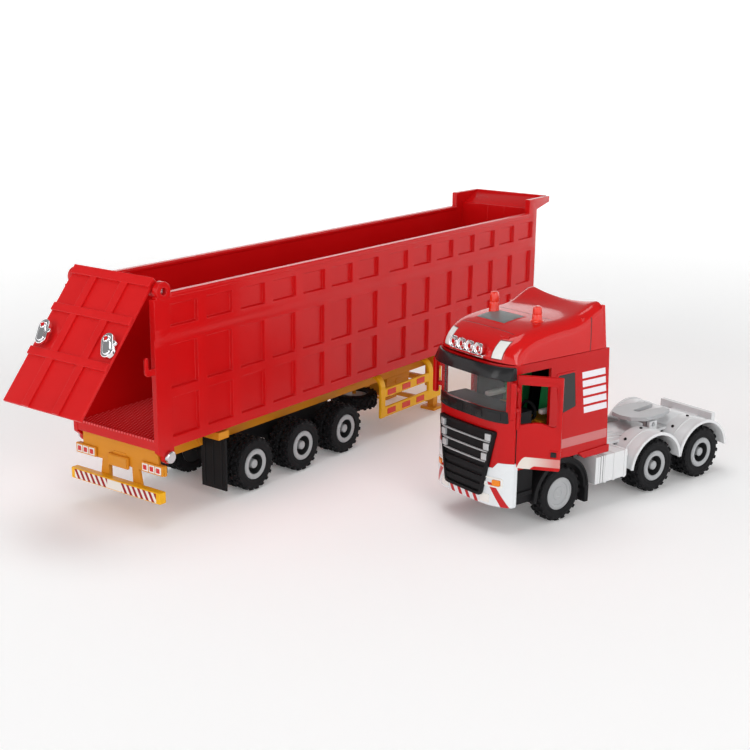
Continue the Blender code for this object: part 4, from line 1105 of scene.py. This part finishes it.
white_paint = moulded("bumper_white", (0.74, 0.77, 0.79), 0.28, 0.006, tractor, coat_weight=0.25)
low_bars = ((white_paint.y + white_paint.z * 0.62) % 7.4).within(0.0, 3.3) * white_paint.z.within(19.0, 25.4)
low_bars = low_bars * (1.0 - abs(white_paint.y).above(14.8)) * white_paint.x.above(45.0)
slash = (abs(white_paint.y) + white_paint.z * 0.62).within(42.0, 46.6) * white_paint.z.within(19.0, 34.5)
white_paint.paint(low_bars, (0.50, 0.006, 0.010), 0.3)
white_paint.paint(slash * white_paint.x.above(43.9, 0.1), (0.50, 0.006, 0.010), 0.3)
white_material = white_paint.close()
bumper = bmesh.new()
face = [(-35.9, 19.0), (35.9, 19.0), (35.9, 48.4), (27.4, 48.2), (24.2, 44.2), (-24.2, 44.2), (-27.4, 48.2),
        (-35.9, 48.4)]
join_softened(bumper, [bend(solo(facing, rounded(face, 0.6, 3), [], -3.0, 0.5)),
                       *[solo(cube, (41.2, 44.2), sorted((33.4 * side, 36.0 * side)), (19.0, 48.4))
                         for side in (1, -1)]], 0.5, 3)
piece("bumper_moulding", bumper, tractor, "tractor", [white_material], ["front_bumper"])
amber = moulded("amber_lens", (0.85, 0.24, 0.010), 0.12, 0.01, tractor, coat_weight=0.5).close()
lamps, ambers = bmesh.new(), bmesh.new()
for side in (1, -1):
    low, high = sorted((18.4 * side, 31.0 * side))
    inner, outer = sorted((24.6 * side, 29.6 * side))
    frame_outline = rounded([(low, 31.8), (high, 31.8), (high, 38.2), (low, 38.2)], 1.6)
    well = rounded([(low + 0.9, 32.7), (high - 0.9, 32.7), (high - 0.9, 37.3), (low + 0.9, 37.3)], 1.2)
    holder = rounded([(min(15.4 * side, 22.6 * side), 20.6), (max(15.4 * side, 22.6 * side), 20.6),
                      (max(15.4 * side, 22.6 * side), 26.2), (min(15.4 * side, 22.6 * side), 26.2)], 0.8)
    join_softened(lamps, [bend(solo(facing, frame_outline, [well], 0.2, 1.2)),
                          bend(solo(facing, holder, [], 0.2, 1.0))], 0.25, 2)
    tile = rounded([(inner, 33.0), (outer, 33.0), (outer, 36.8), (inner, 36.8)], 0.8)
    join_softened(ambers, [bend(solo(facing, tile, [], 0.3, 1.3))], 0.3, 2)
piece("headlamp_frames", lamps, tractor, "tractor", [white_frame])
piece("indicators", ambers, tractor, "tractor", [amber])


# ---- doors ---------------------------------------------------------------------------------------
# Each red door hangs on its front edge. It has an open window with a rounded frame, a tall mirror, a
# black handle in a cup, and a white swoosh that fades to pink along the bottom.

for name, side, swing in (("left", 1, -52.0), ("right", -1, 0.0)):
    hung = (tractor @ Matrix.Translation((42.4, 35.6 * side, 0))
            @ Matrix.Rotation(math.radians(swing), 4, "Z"))
    paint = moulded("door_red_" + name, CAB_RED, 0.2, 0.004, hung, coat_weight=0.1, coat_roughness=0.04,
                    specular_ior_level=0.2)
    along = paint.x * -1.0
    rise = along.make("Clamp", None, {0: along / 6.5})
    upper = (rise * (2.0 - rise)) * 9.4 + 44.2
    fall = along.make("Clamp", None, {0: (along - 7.4) / 5.0})
    lower = (fall * (2.0 - fall)) * 4.9 + 43.2
    outside = (paint.y * side).above(-1.2, 0.1)
    swoosh = (upper - paint.z).above(0.0, 0.1) * (paint.z - lower).above(0.0, 0.1) * outside
    fade = paint.blend((0.72, 0.66, 0.60, 1), (0.62, 0.24, 0.22, 1),
                       along.make("Clamp", None, {0: (along - 8) / 16}))
    paint.colour = paint.blend(paint.colour, fade, swoosh)
    door_material = paint.close()
    edge = [(-0.2, 45.9), (-27.7, 45.9), (-27.7, 106.0), (-0.2, 106.0)]
    hole = [(-1.9, 74.0), (-1.9, 100.2), (-24.6, 100.2), (-24.6, 75.0), (-22.4, 73.8), (-14.6, 76.2),
            (-11.0, 76.2)]
    leaf = bmesh.new()
    join_softened(leaf, [solo(pierced, rounded(edge, 1.6), [rounded(hole, 0.9)], *sorted((-2.6 * side, 0))),
                         solo(pierced, rounded([(0.2, 71.0), (0.2, 106.2), (-27.8, 106.2), (-27.8, 71.0),
                                                (-26.0, 71.0), (-26.0, 102.2), (-24.4, 103.2), (-2.8, 103.2),
                                                (-1.4, 101.8), (-1.4, 71.0)], 0.6, 3), [],
                              *sorted((-1.6 * side, 1.1 * side)))], 0.6, 3)
    mirror = [solo(cube, (0.4, 4.0), sorted((3.0 * side, 6.6 * side)), (78.5, 102.4)),
              *[solo(cube, (-1.2, 2.2), sorted((-0.4 * side, 4.4 * side)), z)
                for z in ((83.0, 86.0), (96.5, 99.5))]]
    join_softened(leaf, mirror, 1.1, 4)
    piece("door_leaf_" + name, leaf, hung, name + "_door", [door_material], ["door_" + name])
    cup = bmesh.new()
    join_softened(cup, [solo(pierced, rounded([(-26.2, 53.9), (-20.6, 53.9), (-20.6, 59.3), (-26.2, 59.3)],
                                              0.8),
                             [rounded([(-25.4, 54.7), (-21.4, 54.7), (-21.4, 58.5), (-25.4, 58.5)], 0.6)],
                             *sorted((-0.4 * side, 0.45 * side)))], 0.15, 2)
    piece("handle_cup_" + name, cup, hung, name + "_door", [door_material])
    grip = bmesh.new()
    join_softened(grip, [solo(cube, (-25.2, -21.6), sorted((-0.4 * side, 0.12 * side)), (54.9, 58.3)),
                         solo(cube, (-24.6, -22.0), sorted((0.0 * side, 0.7 * side)), (56.2, 57.8))], 0.15, 2)
    piece("handle_grip_" + name, grip, hung, name + "_door", [gloss_black])


# ---- cab inside ----------------------------------------------------------------------------------
# Two seats with green backs and orange-yellow cushions stand on a black base behind a black dashboard
# that carries the steering wheel.

shape = from_cad("dashboard", tractor)
soften(shape, 0.35)
piece("dashboard_moulding", shape, tractor, "tractor", [black], ["dashboard"])
green = moulded("seat_green", (0.012, 0.28, 0.080), 0.5, 0.02, tractor).close()
cushion_yellow = moulded("cushion_yellow", (0.72, 0.32, 0.012), 0.5, 0.02, tractor).close()
for name, side in (("left", 1), ("right", -1)):
    back, cushion, base, arm_rest = (bmesh.new() for _ in range(4))
    width = sorted((8.0 * side, 26.0 * side))
    join_softened(back, [solo(side_plate, [(-9.0, 62.0), (-2.0, 64.0), (-5.0, 90.0), (-13.0, 90.0)],
                              *width)], 1.2, 4)
    join_softened(cushion, [solo(side_plate, [(-8.0, 60.4), (11.0, 60.4), (13.0, 68.6), (-5.0, 68.6)],
                                 *width)], 1.2, 4)
    join_softened(base, [solo(cube, (-12.0, 10.0), width, (47.7, 61.0))], 0.5)
    join_softened(arm_rest, [solo(cube, (-6.0, 12.5), sorted((23.4 * side, 27.6 * side)), (73.0, 76.2))],
                  0.9, 3)
    piece("seat_back_" + name, back, tractor, "tractor", [green], ["seat_" + name])
    piece("seat_cushion_" + name, cushion, tractor, "tractor", [cushion_yellow])
    piece("seat_base_" + name, base, tractor, "tractor", [black])
    piece("seat_rest_" + name, arm_rest, tractor, "tractor", [white_frame])
